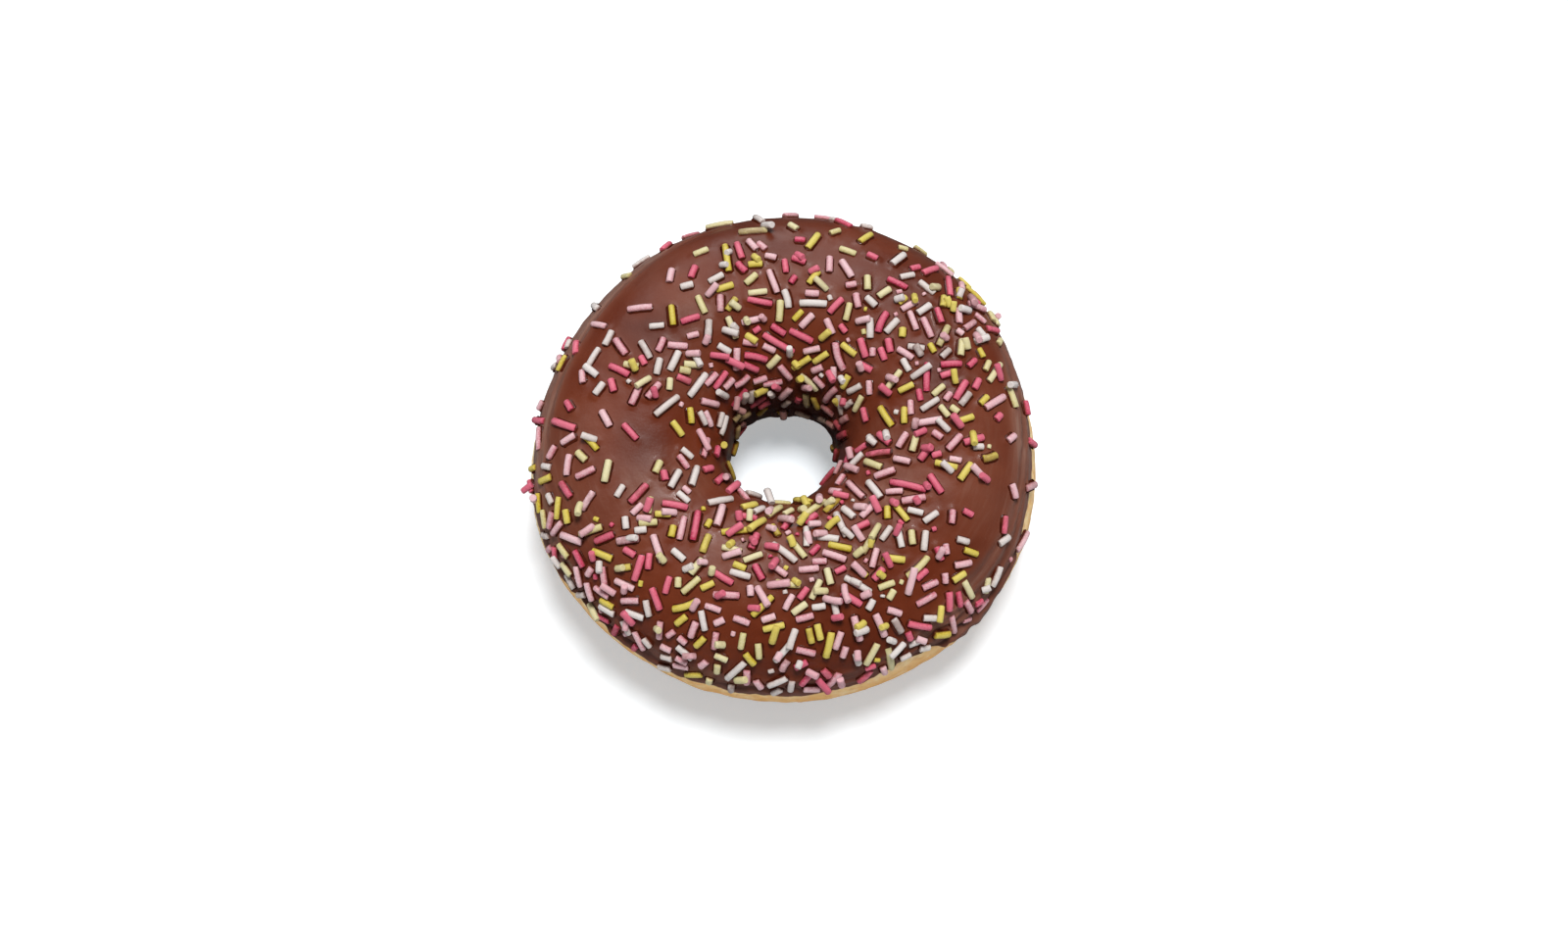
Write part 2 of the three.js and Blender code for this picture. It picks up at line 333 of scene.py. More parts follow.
class Graph:
    """Adds nodes to one node tree, of a material, a world or a modifier."""

    def __init__(self, tree: bpy.types.NodeTree) -> None:
        """Takes over a tree and empties it."""
        self.tree = tree
        tree.nodes.clear()

    def node(self, kind: str, settings: Settings = None, sockets: Sockets = None) -> bpy.types.Node:
        """Adds a node.

        Args:
            kind: The node's type.
            settings: Its own settings, which are set first. "stops" gives a ramp's places and colours, and
                "items" how many inputs an index switch has.
            sockets: Values or links of its inputs, by name or number.

        Returns:
            The node.
        """
        node = self.tree.nodes.new(kind)
        for name, value in (settings or {}).items():
            if name == "stops":
                self._set_stops(node.color_ramp, value)
            elif name == "items":
                for _ in range(value - len(node.index_switch_items)):
                    node.index_switch_items.new()
            else:
                setattr(node, name, value)
        for name, value in (sockets or {}).items():
            self.feed(node.inputs[name], value)
        return node

    @staticmethod
    def _set_stops(ramp: bpy.types.ColorRamp, stops: Sequence[tuple[float, Colour]]) -> None:
        """Gives a colour ramp its stops.

        Args:
            ramp: The ramp.
            stops: The place and the colour of each.
        """
        while len(ramp.elements) < len(stops):
            ramp.elements.new(1.0)
        for element, (place, colour) in zip(ramp.elements, stops):
            element.position = place
            element.color = (*colour, 1.0)

    def feed(self, socket: bpy.types.NodeSocket, value: Any) -> None:
        """Links a socket to what feeds it, or sets its value.

        Args:
            socket: An input.
            value: A link, or the value.
        """
        if isinstance(value, Link):
            self.tree.links.new(value.socket, socket)
        elif socket.type == "RGBA" and len(value) == 3:
            socket.default_value = (*value, 1.0)
        else:
            socket.default_value = value

    def link(self, kind: str, settings: Settings = None, sockets: Sockets = None, output: str | int = 0) -> "Link":
        """Adds a node and gives one of its outputs."""
        return Link(self, self.node(kind, settings, sockets).outputs[output])

    def mix(self, share: Any, first: Any, second: Any, blend: str = "MIX") -> "Link":
        """Mixes two colours by a share of the second one."""
        settings = {"data_type": "RGBA", "blend_type": blend}
        return self.link("ShaderNodeMix", settings, {0: share, 6: first, 7: second}, 2)

    def vector(self, operation: str, *values: Any, output: int = 0) -> "Link":
        """Does vector maths. A scale's factor is its last value."""
        places = (0, 3) if operation == "SCALE" else range(len(values))
        return self.link("ShaderNodeVectorMath", {"operation": operation}, dict(zip(places, values)), output)

    def ramp(self, value: Any, start: float, end: float, low: float = 0.0, high: float = 1.0) -> "Link":
        """Maps a value smoothly from one range to another, and holds it at the ends."""
        sockets = {"Value": value, "From Min": start, "From Max": end, "To Min": low, "To Max": high}
        return self.link("ShaderNodeMapRange", {"interpolation_type": "SMOOTHSTEP"}, sockets)

    def noise(self, place: Any, grain: float, detail: float = 2.0, output: int = 0) -> "Link":
        """Adds noise with lumps of a size in the unit of the place."""
        sockets = {"Vector": place, "Scale": 1 / grain, "Detail": detail}
        return self.link("ShaderNodeTexNoise", None, sockets, output)

    def attribute(self, name: str, output: str = "Fac") -> "Link":
        """Reads what is stored on the surface under a name."""
        return self.link("ShaderNodeAttribute", {"attribute_name": name}, None, output)


def link_operator(operation: str, swapped: bool = False) -> Callable[["Link", Any], "Link"]:
    """Makes one operator of a link.

    Args:
        operation: The Math node's operation.
        swapped: Whether the link stands on the right, as in 1 - link.

    Returns:
        The operator, as a method.
    """

    def operate(self: "Link", other: Any) -> "Link":
        """Adds a Math node and gives its output."""
        first, second = (other, self) if swapped else (self, other)
        return self.graph.link("ShaderNodeMath", {"operation": operation}, {0: first, 1: second})

    return operate


class Link:
    """A socket that takes part in Python's arithmetic, which adds Math nodes."""

    def __init__(self, graph: Graph, socket: bpy.types.NodeSocket) -> None:
        """Wraps an output socket of a graph's tree."""
        self.graph = graph
        self.socket = socket

    __add__, __radd__ = link_operator("ADD"), link_operator("ADD", swapped=True)
    __sub__, __rsub__ = link_operator("SUBTRACT"), link_operator("SUBTRACT", swapped=True)
    __mul__, __rmul__ = link_operator("MULTIPLY"), link_operator("MULTIPLY", swapped=True)
    __truediv__, __rtruediv__ = link_operator("DIVIDE"), link_operator("DIVIDE", swapped=True)


# ---- Finishes ----


@dataclass(frozen=True)
class Finish:
    """What every finish shares: the parts of its surface that don't vary over it."""

    name: str
    specular: float = 0.5
    coat_roughness: float = 0.2
    sheen: float = 0.0  # how much paler it looks edge on
    sheen_roughness: float = 0.4
    scatter: float = 0.0  # how much light the stuff lets in
    scatter_reach: Colour = (1.0, 0.5, 0.3)  # in millimetres

    def material(self) -> bpy.types.Material:
        """Makes the finish's material.

        Returns:
            The material.
        """
        material = bpy.data.materials.new(self.name)
        material.use_nodes = True
        graph = Graph(material.node_tree)
        even = {
            "Specular IOR Level": self.specular,
            "Coat Roughness": self.coat_roughness,
            "Sheen Weight": self.sheen,
            "Sheen Roughness": self.sheen_roughness,
            "Subsurface Weight": self.scatter,
            "Subsurface Radius": self.scatter_reach,
            "Subsurface Scale": MM,
        }
        metres = graph.link("ShaderNodeTexCoord", output="Object")
        varied = self.dress(graph, graph.vector("SCALE", metres, 1 / MM))
        surface = graph.link("ShaderNodeBsdfPrincipled", None, {**even, **varied})
        graph.node("ShaderNodeOutputMaterial", None, {"Surface": surface})
        return material

    def dress(self, graph: Graph, place: Link) -> dict[str, Any]:
        """Gives what varies over the surface.

        Args:
            graph: The material's graph.
            place: The place on the object in millimetres.

        Returns:
            Links or values for the surface's inputs, by name.
        """
        raise NotImplementedError

    @staticmethod
    def bump(graph: Graph, height: Any) -> Link:
        """Gives the normals of a surface raised by a height in millimetres."""
        return graph.link("ShaderNodeBump", None, {"Height": height * MM, "Distance": 1.0, "Strength": 1.0})


@dataclass(frozen=True)
class IcingFinish(Finish):
    """Satin milk chocolate, with a matter skirt where it ran thin over the side, painted sheen on the skirt and in
    patches, and painted shade deep in the hole, in creases and in patches.
    """

    dark: Colour = (0.126, 0.0205, 0.0055)
    light: Colour = (0.174, 0.0360, 0.0120)
    # painted sheen on the skirt and in patches, and faint real bloom in specks
    bloom_and_sheen: Colour = (0.25, 0.125, 0.088)
    # painted shade deep in the hole, in the creases and in patches
    deep: Colour = (0.050, 0.0060, 0.0015)
    cloud: float = 9.0  # the size in millimetres of each part of its pattern
    smear: float = 3.5
    lump: float = 1.6
    pit: float = 0.45
    speck: float = 0.28

    def dress(self, graph: Graph, place: Link) -> dict[str, Any]:
        """Gives clouds of lighter chocolate, faint bloomed specks, fine streaks on the skirt, a painted sheen that
        makes the skirt and some patches paler, and painted shade that darkens the hole, the creases and some patches.

        Args:
            graph: The material's graph.
            place: The place on the object in millimetres.

        Returns:
            Links for the surface's inputs, by name.
        """
        skirt, dry, deep = (graph.attribute(name) for name in ("skirt", "dry", "deep"))
        flow = graph.attribute("flow", "Vector")
        clouds = graph.ramp(graph.noise(place, self.cloud, 3.0), 0.35, 0.68)
        specks = graph.ramp(graph.noise(place, self.speck, 1.0), 0.70, 0.80)
        streaks = graph.noise(flow, 1.0, 3.0)
        smeared = graph.ramp(graph.noise(graph.vector("SCALE", flow, 0.4), 1.0, 2.0), 0.48, 0.66)
        streaked = graph.ramp(streaks, 0.45, 0.75) * 0.15 + smeared * 0.25
        # painted sheen: the skirt, some sides and some patches look paler, in streaks
        sheen_share = skirt * 0.06 + dry * (0.40 + streaked) + skirt * streaked * 0.35
        # random lighter clouds; the skirt lighter, partly its own matter look and partly painted sheen
        colour = graph.mix(clouds * 0.55 + skirt * 0.85, self.dark, self.light)
        colour = graph.mix(specks * 0.25 * (1.0 - skirt) + sheen_share, colour, self.bloom_and_sheen)
        smears = graph.noise(place, self.smear, 4.0)
        relief = graph.noise(place, self.pit, 3.0) * 0.022 + graph.noise(place, self.lump, 2.0) * 0.05
        return {
            # painted shade deep in the hole, in the creases and in patches
            "Base Color": graph.mix(deep * 0.8, colour, self.deep),
            "Roughness": 0.30 + smears * 0.16 + skirt * 0.12 + skirt * streaks * 0.08,
            "Coat Weight": graph.ramp(smears, 0.45, 0.7, 0.05, 0.3) * (1.0 - deep),
            "Normal": self.bump(graph, relief + skirt * streaks * 0.10),
        }


@dataclass(frozen=True)
class ShadedCollarFinish(Finish):
    """The wetter chocolate that creeps up round a strand, painted darker as contact shade."""

    # painted contact shade round each strand: both far darker than the icing
    dark: Colour = (0.050, 0.0075, 0.0028)
    light: Colour = (0.085, 0.0150, 0.0060)
    patch: float = 1.4  # the size in millimetres of each part of its pattern
    lump: float = 0.5

    def dress(self, graph: Graph, place: Link) -> dict[str, Any]:
        """Gives a darker and a lighter chocolate in small patches, both painted dark as contact shade.

        Args:
            graph: The material's graph.
            place: The place on the object in millimetres.

        Returns:
            Links for the surface's inputs, by name.
        """
        patches = graph.noise(place, self.patch, 2.0)
        return {
            "Base Color": graph.mix(graph.ramp(patches, 0.35, 0.65), self.dark, self.light),
            "Roughness": 0.10 + patches * 0.16,
            "Normal": self.bump(graph, graph.noise(place, self.lump, 2.0) * 0.03),
        }


@dataclass(frozen=True)
class DoughFinish(Finish):
    """Fried yeast dough: brown below, golden on the belly, and pale where it floated clear of the oil."""

    stops: Sequence[tuple[float, Colour]] = (
        (0.00, (0.30, 0.115, 0.032)),
        (0.22, (0.44, 0.19, 0.055)),
        (0.42, (0.68, 0.32, 0.085)),
        (0.56, (0.80, 0.42, 0.12)),
        (0.68, (0.87, 0.52, 0.19)),
        (1.00, (0.90, 0.64, 0.31)),
    )
    top: float = 20.0  # the height in millimetres of the last stop
    cream: Colour = (0.90, 0.74, 0.44)
    toasted: Colour = (0.66, 0.29, 0.075)
    freckled: Colour = (0.36, 0.15, 0.045)
    drift: float = 7.0  # the size in millimetres of each part of its pattern
    patch: float = 2.8
    blotch: float = 1.6
    pore: float = 0.5
    freckle: float = 0.42

    def dress(self, graph: Graph, place: Link) -> dict[str, Any]:
        """Gives the crust its band of colours, mottling, freckles and fine wrinkles.

        Args:
            graph: The material's graph.
            place: The place on the object in millimetres.

        Returns:
            Links for the surface's inputs, by name.
        """
        height = graph.link("ShaderNodeSeparateXYZ", None, {0: place}, 2)
        pale = graph.attribute("pale")
        drift = graph.noise(place, self.drift, 3.0) - 0.5
        streaks = graph.noise(graph.attribute("flow", "Vector"), 1.0, 4.0) - 0.5
        level = (height + drift * 5.0 + streaks * 2.2) / self.top
        crust = graph.link("ShaderNodeValToRGB", {"stops": self.stops}, {0: level})
        crust = graph.mix(pale * graph.ramp(level, 0.3, 0.7) + drift * 0.3, crust, self.cream)
        mottle = graph.noise(place, self.blotch, 4.0)
        crust = graph.mix(graph.ramp(mottle, 0.46, 0.72, 0.0, 0.5), crust, self.toasted)
        patches = graph.ramp(graph.noise(place, self.patch, 3.0), 0.42, 0.72, 0.0, 0.55)
        crust = graph.mix(graph.ramp(level, 0.35, 0.6) * patches, crust, self.cream)
        freckles = graph.ramp(graph.noise(place, self.freckle, 2.0), 0.66, 0.76)
        relief = graph.noise(place, self.pore, 4.0) * 0.05 + mottle * 0.10 + streaks * 0.08
        return {
            "Base Color": graph.mix(freckles * 0.3, crust, self.freckled),
            "Roughness": 0.48 + mottle * 0.25,
            "Normal": self.bump(graph, relief),
        }


@dataclass(frozen=True, kw_only=True)
class SugarFinish(Finish):
    """Dry coloured sugar with a fine grain, a little different from one strand to the next, with a painted highlight
    along the top and painted shade along the lower sides and deep in the hole.
    """

    colour: Colour
    pale: Colour
    top_highlight: Colour  # a painted highlight along the top
    roughness: float = 0.4
    stain_and_shade: Colour = (0.16, 0.045, 0.02)  # where it took up chocolate, and the painted shade along the lower sides
    shaded: Colour = (0.34, 0.22, 0.14)  # painted shade deep in the hole
    grain: float = 0.30  # the size in millimetres of each part of its pattern
    smudge: float = 1.1

    def dress(self, graph: Graph, place: Link) -> dict[str, Any]:
        """Gives a grain of sugar, a tint for each strand, a painted highlight along the top, painted shade along the
        lower sides and deep in the hole, and chocolate smudges on some strands.

        Args:
            graph: The material's graph.
            place: The place on the object in millimetres.

        Returns:
            Links for the surface's inputs, by name.
        """
        tint, stain, rise, shade = (graph.attribute(name) for name in ("tint", "stain", "rise", "shade"))
        grain = graph.noise(place, self.grain, 3.0)
        colour = graph.mix(tint * 0.7 + graph.ramp(grain, 0.42, 0.66) * 0.3, self.colour, self.pale)
        # painted highlight along the top of each strand
        top_highlight = graph.ramp(rise + (grain - 0.5) * 0.7, 0.26, 0.58, 0.0, 0.42)
        colour = graph.mix(top_highlight, colour, self.top_highlight)
        smudge = stain * graph.ramp(graph.noise(place, self.smudge, 3.0), 0.3, 0.6)
        # painted contact shade along the lower sides, mixed with the chocolate smudges
        low_side_shade = graph.ramp(rise + (grain - 0.5) * 0.4, -0.08, 0.28, 0.8, 0.0)
        colour = graph.mix(1.0 - (1.0 - smudge) * (1.0 - low_side_shade), colour, self.stain_and_shade)
        return {
            # painted shade deep in the hole
            "Base Color": graph.mix(shade * 0.85, colour, self.shaded, "MULTIPLY"),
            "Roughness": self.roughness + (grain - 0.5) * 0.4,
            "Normal": self.bump(graph, grain * 0.06),
        }


class Sugar(Enum):
    """The five colours of strand: the share of all strands, the plain, the pale and the painted top highlight colour,
    and how rough.
    """

    WHITE = (0.19, (0.55, 0.45, 0.41), (0.71, 0.65, 0.62), (0.73, 0.69, 0.67), 0.42)
    CREAM = (0.15, (0.55, 0.46, 0.16), (0.70, 0.63, 0.39), (0.72, 0.67, 0.43))
    YELLOW = (0.13, (0.53, 0.39, 0.025), (0.66, 0.54, 0.12), (0.72, 0.62, 0.18))
    PALE_PINK = (0.33, (0.53, 0.15, 0.19), (0.73, 0.48, 0.50), (0.81, 0.60, 0.63))
    DEEP_PINK = (0.20, (0.46, 0.028, 0.080), (0.68, 0.13, 0.19), (0.77, 0.23, 0.31))

    def __init__(self, share: float, colour: Colour, pale: Colour, top_highlight: Colour, roughness: float = 0.4) -> None:
        """Makes the colour's finish.

        Args:
            share: How many of all the strands have this colour.
            colour: The colour itself.
            pale: What some strands' whole colour tends to.
            top_highlight: What their tops tend to.
            roughness: The middle of how rough the sugar is.
        """
        self.share = share
        name = "sugar_" + self.name.lower()
        self.finish = SugarFinish(name, colour=colour, pale=pale, top_highlight=top_highlight, roughness=roughness)


# ---- Sugar strands ----


class Draws:
    """Repeatable draws between 0 and 1."""

    def __init__(self, seed: int) -> None:
        """Starts from a seed."""
        self.state = seed

    def __call__(self) -> float:
        """Draws the next one."""
        self.state = (self.state * 1664525 + 1013904223) % 2**32
        return self.state / 2**32


@dataclass
class Strand:
    """One sugar strand: where its middle is, the way it lies, and the way out of the icing, in millimetres."""

    centre: np.ndarray
    axis: np.ndarray
    normal: np.ndarray
    length: float
    around: float
    over: float


@dataclass(frozen=True)
class Fall:
    """How some of the strands fell: thickly and thinly in patches, and more or less across each other."""

    seed: int
    patches: Patches
    crossing: float  # the share of those that touch one other that may lie across it
    contact: float = 1.0  # how near two may come, in diameters, before they count as touching
    hole_margin: float = 4.0  # how far from the icing's edge in the hole their middles stay, in degrees "over"
    inside_rim: bool = False  # whether they stay inside the edge as it shows, at both ends


BROAD_PATCHES: Patches = (
    (9, -21, 9, 2.8), (-1, -15, 5, 1.4), (28, 2, 7, 1.3), (28, 23, 8, 0.7), (5, 20, 6, 0.5), (-8, 25, 5, 0.7),
    (-18, 8, 6, 1.2), (-17, -12, 6, 0.5), (-20, 29, 7, -0.9), (-26, -3, 6, -0.9), (-38, 8, 8, -0.7),
    (-10, -36, 5, -0.5), (28, -13, 6, -1.0), (41, -2, 6, -0.9), (11, 38, 6, -0.7), (-32, -18, 5, -0.4),
    (-32, 22, 5, -0.5),
)
FINE_PATCHES: Patches = (
    *BROAD_PATCHES,
    (-6, -9, 2.5, -4.0), (0, -11.5, 2.5, -4.5), (6, -9.5, 2.5, -4.5), (6, -24, 6, 2.0), (-12, -27, 5, 0.8),
    (-6, -30, 5, 1.2), (15, -18, 5, 1.2), (-6, 18, 5, 0.7), (-1, 13, 3.5, 4.5), (-9, 10.5, 3, 3.0),
    (9, 11, 3, 2.5), (-1, -14.5, 3.5, 3.0), (9, -15, 4, 2.2), (0, -21, 4, 1.2), (-10, -9, 3, -1.8),
    (-41, -16, 3, 4.0), (-37, -24, 3, 4.0), (-31, -31, 3, 4.0), (43, 3, 6, -2.2), (-24, 0, 5, -1.5),
    (-23, 27, 5, -1.4), (-1, 43, 8, -1.4), (24, 38, 7, -1.8), (42, 18, 6, -1.8), (36, -18, 5, -1.5),
    (-42, -18, 8, -1.7), (-6, -6, 5, -1.8), (15, 3, 6, -1.1), (15, 39, 5, -1.4), (-15, 42, 6, -1.2),
    (-31, 31, 7, -1.6), (-45, 5, 5, -1.5),
)
CRUMB_PATCHES: Patches = (*FINE_PATCHES, (-18, 27, 2.5, 5.0), (-5, 30, 3, 4.0), (-4, -22, 6, 1.5))


@dataclass
class Scatter:
    """Lays strands over the icing, the longest first, thickly and thinly as they fell."""

    shape: RingShape
    seed: int = 24
    count: int = 710
    large: int = 190  # how many of the longest lie by the broad patches alone
    diameter: float = 1.2
    median_length: float = 2.8
    length_spread: float = 0.31
    longest: float = 6.6
    shortest: float = 1.4
    crumbs: int = 45
    crumb_length: float = 0.45  # of the shortest crumb
    crumb_spread: float = 0.6
    sink: float = 0.45
    edge_margin: float = 4.0
    crossing_gap: float = 0.35  # how near two must come, in diameters, for one to lie across the other
    crossing_lift: float = 0.85
    barest_cover: float = 0.05
    steepest_cover: float = 0.08
    most_cover: float = 4.2
    broad: Fall = Fall(25, BROAD_PATCHES, crossing=0.4)
    fine: Fall = Fall(31, FINE_PATCHES, crossing=0.10, contact=0.93, hole_margin=22.0, inside_rim=True)
    crumb: Fall = Fall(7, CRUMB_PATCHES, crossing=0.0, contact=0.8, hole_margin=50.0, inside_rim=True)

    def lengths(self) -> list[float]:
        """Draws the lengths of all the strands.

        Returns:
            The lengths, the longest first.
        """
        draw = Draws(self.seed)
        drawn = []
        for _ in range(self.count):
            bell = (draw() + draw() + draw() - 1.5) * 2
            length = self.median_length * math.exp(self.length_spread * bell)
            drawn.append(min(self.longest, max(self.shortest, length)))
        return sorted(drawn, reverse=True)

    def cover(self, strand: Strand, patches: Patches) -> float:
        """Finds how thickly strands lie at a strand's place.

        Args:
            strand: The strand.
            patches: Where they lie more or less thickly.

        Returns:
            A multiple of the even cover.
        """
        x, y, _ = strand.centre
        thick = 1 + sum(gain * hump(math.hypot(x - px, y - py), reach) for px, py, reach, gain in patches)
        room = math.hypot(x, y) / (self.shape.dough_radius + self.shape.icing_thickness)
        return max(thick, self.barest_cover) * room * max(strand.normal[2], self.steepest_cover)

    def laid(self, around: float, over: float, turn: float, length: float) -> Strand:
        """Lays a strand on the icing.

        Args:
            around: The angle about +Z of its middle.
            over: The angle about the core of its middle.
            turn: How far it is turned in the icing's surface.
            length: Its length.

        Returns:
            The strand.
        """
        along = np.array([-math.sin(around), math.cos(around), 0.0])
        normal = self.shape.normal(around, over)
        lift = self.shape.icing_lift(around, over) + self.diameter / 2 - self.sink
        axis = along * math.cos(turn) + np.cross(normal, along) * math.sin(turn)
        return Strand(self.shape.point(around, over, lift), axis, normal, length, around, over)

    @staticmethod
    def nearest(strand: Strand, placed: Sequence[Strand]) -> tuple[np.ndarray, np.ndarray]:
        """Finds where a strand's centre line comes nearest to each of the others.

        Args:
            strand: The strand.
            placed: The others.

        Returns:
            How far apart they are there, and how far along the strand that is.
        """
        centres = np.array([other.centre for other in placed])
        axes = np.array([other.axis for other in placed])
        halves = np.array([other.length for other in placed]) / 2
        half = strand.length / 2
        between = strand.centre - centres
        cosine = axes @ strand.axis
        along = between @ strand.axis
        along_other = np.sum(between * axes, axis=1)
        slant = np.maximum(1 - cosine * cosine, 1e-6)
        first = np.clip((cosine * along_other - along) / slant, -half, half)
        second = np.clip(cosine * first + along_other, -halves, halves)
        place = np.clip(cosine * second - along, -half, half)
        gap = between + place[:, None] * strand.axis - second[:, None] * axes
        return np.linalg.norm(gap, axis=1), place

    def lean_over(self, strand: Strand, place: float) -> None:
        """Tips a strand up over one that it crosses, with its far end still in the icing.

        Args:
            strand: The strand.
            place: How far along it the other one lies.
        """
        half = strand.length / 2
        slope = self.diameter * self.crossing_lift / (abs(place) + half)
        strand.centre = strand.centre + strand.normal * slope * half
        tipped = strand.axis + strand.normal * (-slope if place < 0 else slope)
        strand.axis = tipped / np.linalg.norm(tipped)

    def fits(self, strand: Strand, placed: Sequence[Strand], fall: Fall, may_cross: bool) -> bool:
        """Tells whether a strand has room, and leans it over the one that it may cross.

        Args:
            strand: The strand.
            placed: The strands that lie already.
            fall: How it fell.
            may_cross: Whether it may lie across one other.

        Returns:
            Whether it stays.
        """
        if not placed:
            return True
        apart, place = self.nearest(strand, placed)
        touching = np.flatnonzero(apart < self.diameter * fall.contact)
        if len(touching) == 1:
            if not may_cross or apart[touching[0]] > self.crossing_gap * self.diameter:
                return False
            self.lean_over(strand, place[touching[0]])
        return len(touching) < 2

    def lay(self, placed: list[Strand], lengths: Sequence[float], fall: Fall) -> None:
        """Lays strands, drawing each again until it has room.

        Args:
            placed: The strands that lie already, to which it adds.
            lengths: The lengths of those to lay.
            fall: How they fell.
        """
        draw = Draws(fall.seed)
        margin, inside = math.radians(self.edge_margin), math.radians(fall.hole_margin)
        edges = self.shape.ragged_edges if fall.inside_rim else self.shape.icing_edges
        until = len(placed) + len(lengths)
        while len(placed) < until:
            around = 2 * math.pi * draw()
            outer, hole = edges(around)
            over = outer + margin + (hole - outer - margin - inside) * draw()
            turn, keep, cross = math.pi * draw(), draw(), draw()
            length = lengths[len(placed) - until]
            reach = abs(math.sin(turn)) * length / 2 / self.shape.half_width(around)
            if over - reach < outer or over + reach > hole:
                continue
            strand = self.laid(around, over, turn, length)
            if keep * self.most_cover > self.cover(strand, fall.patches):
                continue
            if self.fits(strand, placed, fall, cross <= fall.crossing):
                placed.append(strand)

    def strands(self) -> list[Strand]:
        """Lays them all: the longest by the broad patches, the rest by the fine ones too, and then crumbs.

        Returns:
            The strands.
        """
        lengths = self.lengths()
        draw = Draws(self.crumb.seed)
        crumbs = [self.crumb_length + self.crumb_spread * draw() for _ in range(self.crumbs)]
        placed: list[Strand] = []
        self.lay(placed, lengths[: self.large], self.broad)
        self.lay(placed, lengths[self.large :], self.fine)
        self.lay(placed, crumbs, self.crumb)
        return placed


# ---- Pieces ----


def finished(piece: bpy.types.Object, slot: str, *nodes: str) -> None:
    """Joins a piece to the frame and reports it.

    Args:
        piece: The piece, in place.
        slot: The record's material slot; not used.
        nodes: The nodes that it stands for.
    """
    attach(piece, "root")
    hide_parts(*nodes)
    triangles = sum(len(face.vertices) - 2 for face in piece.data.polygons)
    LOG.info("%s: %d triangles", piece.name, triangles)


@dataclass
class Dough:
    """The fried ring under the icing."""

    shape: RingShape
    finish: DoughFinish
    steps_around: int = 480
    belly_steps: int = 42
    covered_steps: int = 26
    hole_steps: int = 30
    underside_steps: int = 10
    swells: Layers = ((9.0, 3.1, 0.22), (3.2, 8.4, 0.09))
    upright_wrinkles: Layers = ((2.2, 5.7, 0.12),)
    level_wrinkles: Layers = ((1.5, 5.7, 0.035),)
    blisters: Layers = ((1.9, 12.3, 1.0),)
    blister_start: float = 0.35  # how high that noise must be for the skin to blister
    blister_height: float = 0.5
    dents: Layers = ((5.0, 2.2, 1.0),)  # in the flat underside
    dent_depth: float = 0.25
    waist_pinch: float = 0.15
    waist_reach: float = 2.0
    corner_softness: float = 1.6  # how far above the floor the belly starts to round in to the underside
    bulge: float = 0.25  # how far the dough swells past the icing's edge
    bulges: Humps = ((0.55, 28, 5), (0.5, 20, 184), (0.35, 26, 285))
    bulge_middle: float = -8.0  # the angle "over" of the swelling
    bulge_reach: float = 14.0
    pale_sides: Humps = ((0.75, 13, 184), (0.35, 30, 60), (0.3, 25, 130))  # where the crust stayed pale
    streak: tuple[float, float] = (5.0, 0.9)  # the length and width of the crust's streaks

    def bulging(self, around: np.ndarray, over: np.ndarray) -> np.ndarray:
        """Gives how far the dough swells, in millimetres."""
        size = self.bulge + humps_round(around, self.bulges)
        return size * hump(np.degrees(over) - self.bulge_middle, self.bulge_reach)

    def relief(self, points: np.ndarray) -> np.ndarray:
        """Finds how the skin swells, wrinkles and blisters.

        Args:
            points: Places on the plain dough.

        Returns:
            The height at each place in millimetres.
        """
        wrinkle = layered(points * (1, 1, 0.5), self.upright_wrinkles)
        wrinkle = wrinkle + layered(points * (1, 1, 2.5), self.level_wrinkles)
        blister = np.maximum(layered(points, self.blisters) - self.blister_start, 0) * self.blister_height
        pinch = self.waist_pinch * hump(points[..., 2] - self.shape.waist_height, self.waist_reach)
        return layered(points, self.swells) + wrinkle + blister - pinch

    def points(self) -> tuple[np.ndarray, np.ndarray, np.ndarray]:
        """Lays out the surface as a grid.

        Returns:
            The points, and the angles around and over of each.
        """
        around = all_round(self.steps_around)
        outer, hole = self.shape.icing_edges(around)
        below = self.shape.underside() * np.ones_like(around)
        belly = spread(-below, outer, self.belly_steps)
        covered = spread(outer, hole, self.covered_steps)
        inside = spread(hole, np.pi + below, self.hole_steps)
        over = np.concatenate([belly, covered, inside], axis=1)
        turn = along_rows(around, over)
        side = self.shape.point(turn, over)
        settled = np.clip(side[..., 2] / self.corner_softness, 0, 1)
        side = self.shape.point(turn, over, self.relief(side) * settled + self.bulging(turn, over))
        last = self.shape.point(around, np.pi + below)[:, None]
        share = np.arange(self.underside_steps) / self.underside_steps
        base = last + (side[:, :1] - last) * share[None, :, None]
        base[..., 2] = np.abs(layered(base, self.dents)) * self.dent_depth * np.sin(np.pi * share)
        points = np.concatenate([side, base], axis=1)
        points[..., 2] = np.maximum(points[..., 2], 0)
        overs = np.concatenate([over, np.full(base.shape[:2], -np.pi / 2)], axis=1)
        return points, along_rows(around, points), overs

    def build(self) -> bpy.types.Object:
        """Makes the piece.

        Returns:
            The piece.
        """
        points, around, over = self.points()
        mesh = ring_mesh("dough_crust", points)
        pale = humps_round(around, self.pale_sides).ravel()
        store(mesh, {"flow": self.shape.flow(around, over, self.streak), "pale": pale})
        mesh.materials.append(self.finish.material())
        return new_piece("dough_crust", mesh)


@dataclass(frozen=True)
class Fold:
    """A place where the icing wrinkled: its middle and reach both ways in degrees, height and pitch."""

    around: float
    over: float
    reach_around: float
    reach_over: float
    height: float
    pitch: float  # degrees "over" from one wrinkle to the next
    slant: float = 0.0  # how many degrees "over" it climbs for each degree around

    def at(self, around: np.ndarray, over: np.ndarray) -> np.ndarray:
        """Finds its height.

        Args:
            around: Angles about +Z.
            over: Angles about the core.

        Returns:
            The height at each place in millimetres.
        """
        away = turn_between(around, self.around)
        up = np.degrees(over) - self.over - self.slant * away
        extent = hump(away, self.reach_around) * hump(up, self.reach_over)
        return self.height * np.cos(2 * np.pi * up / self.pitch) * extent


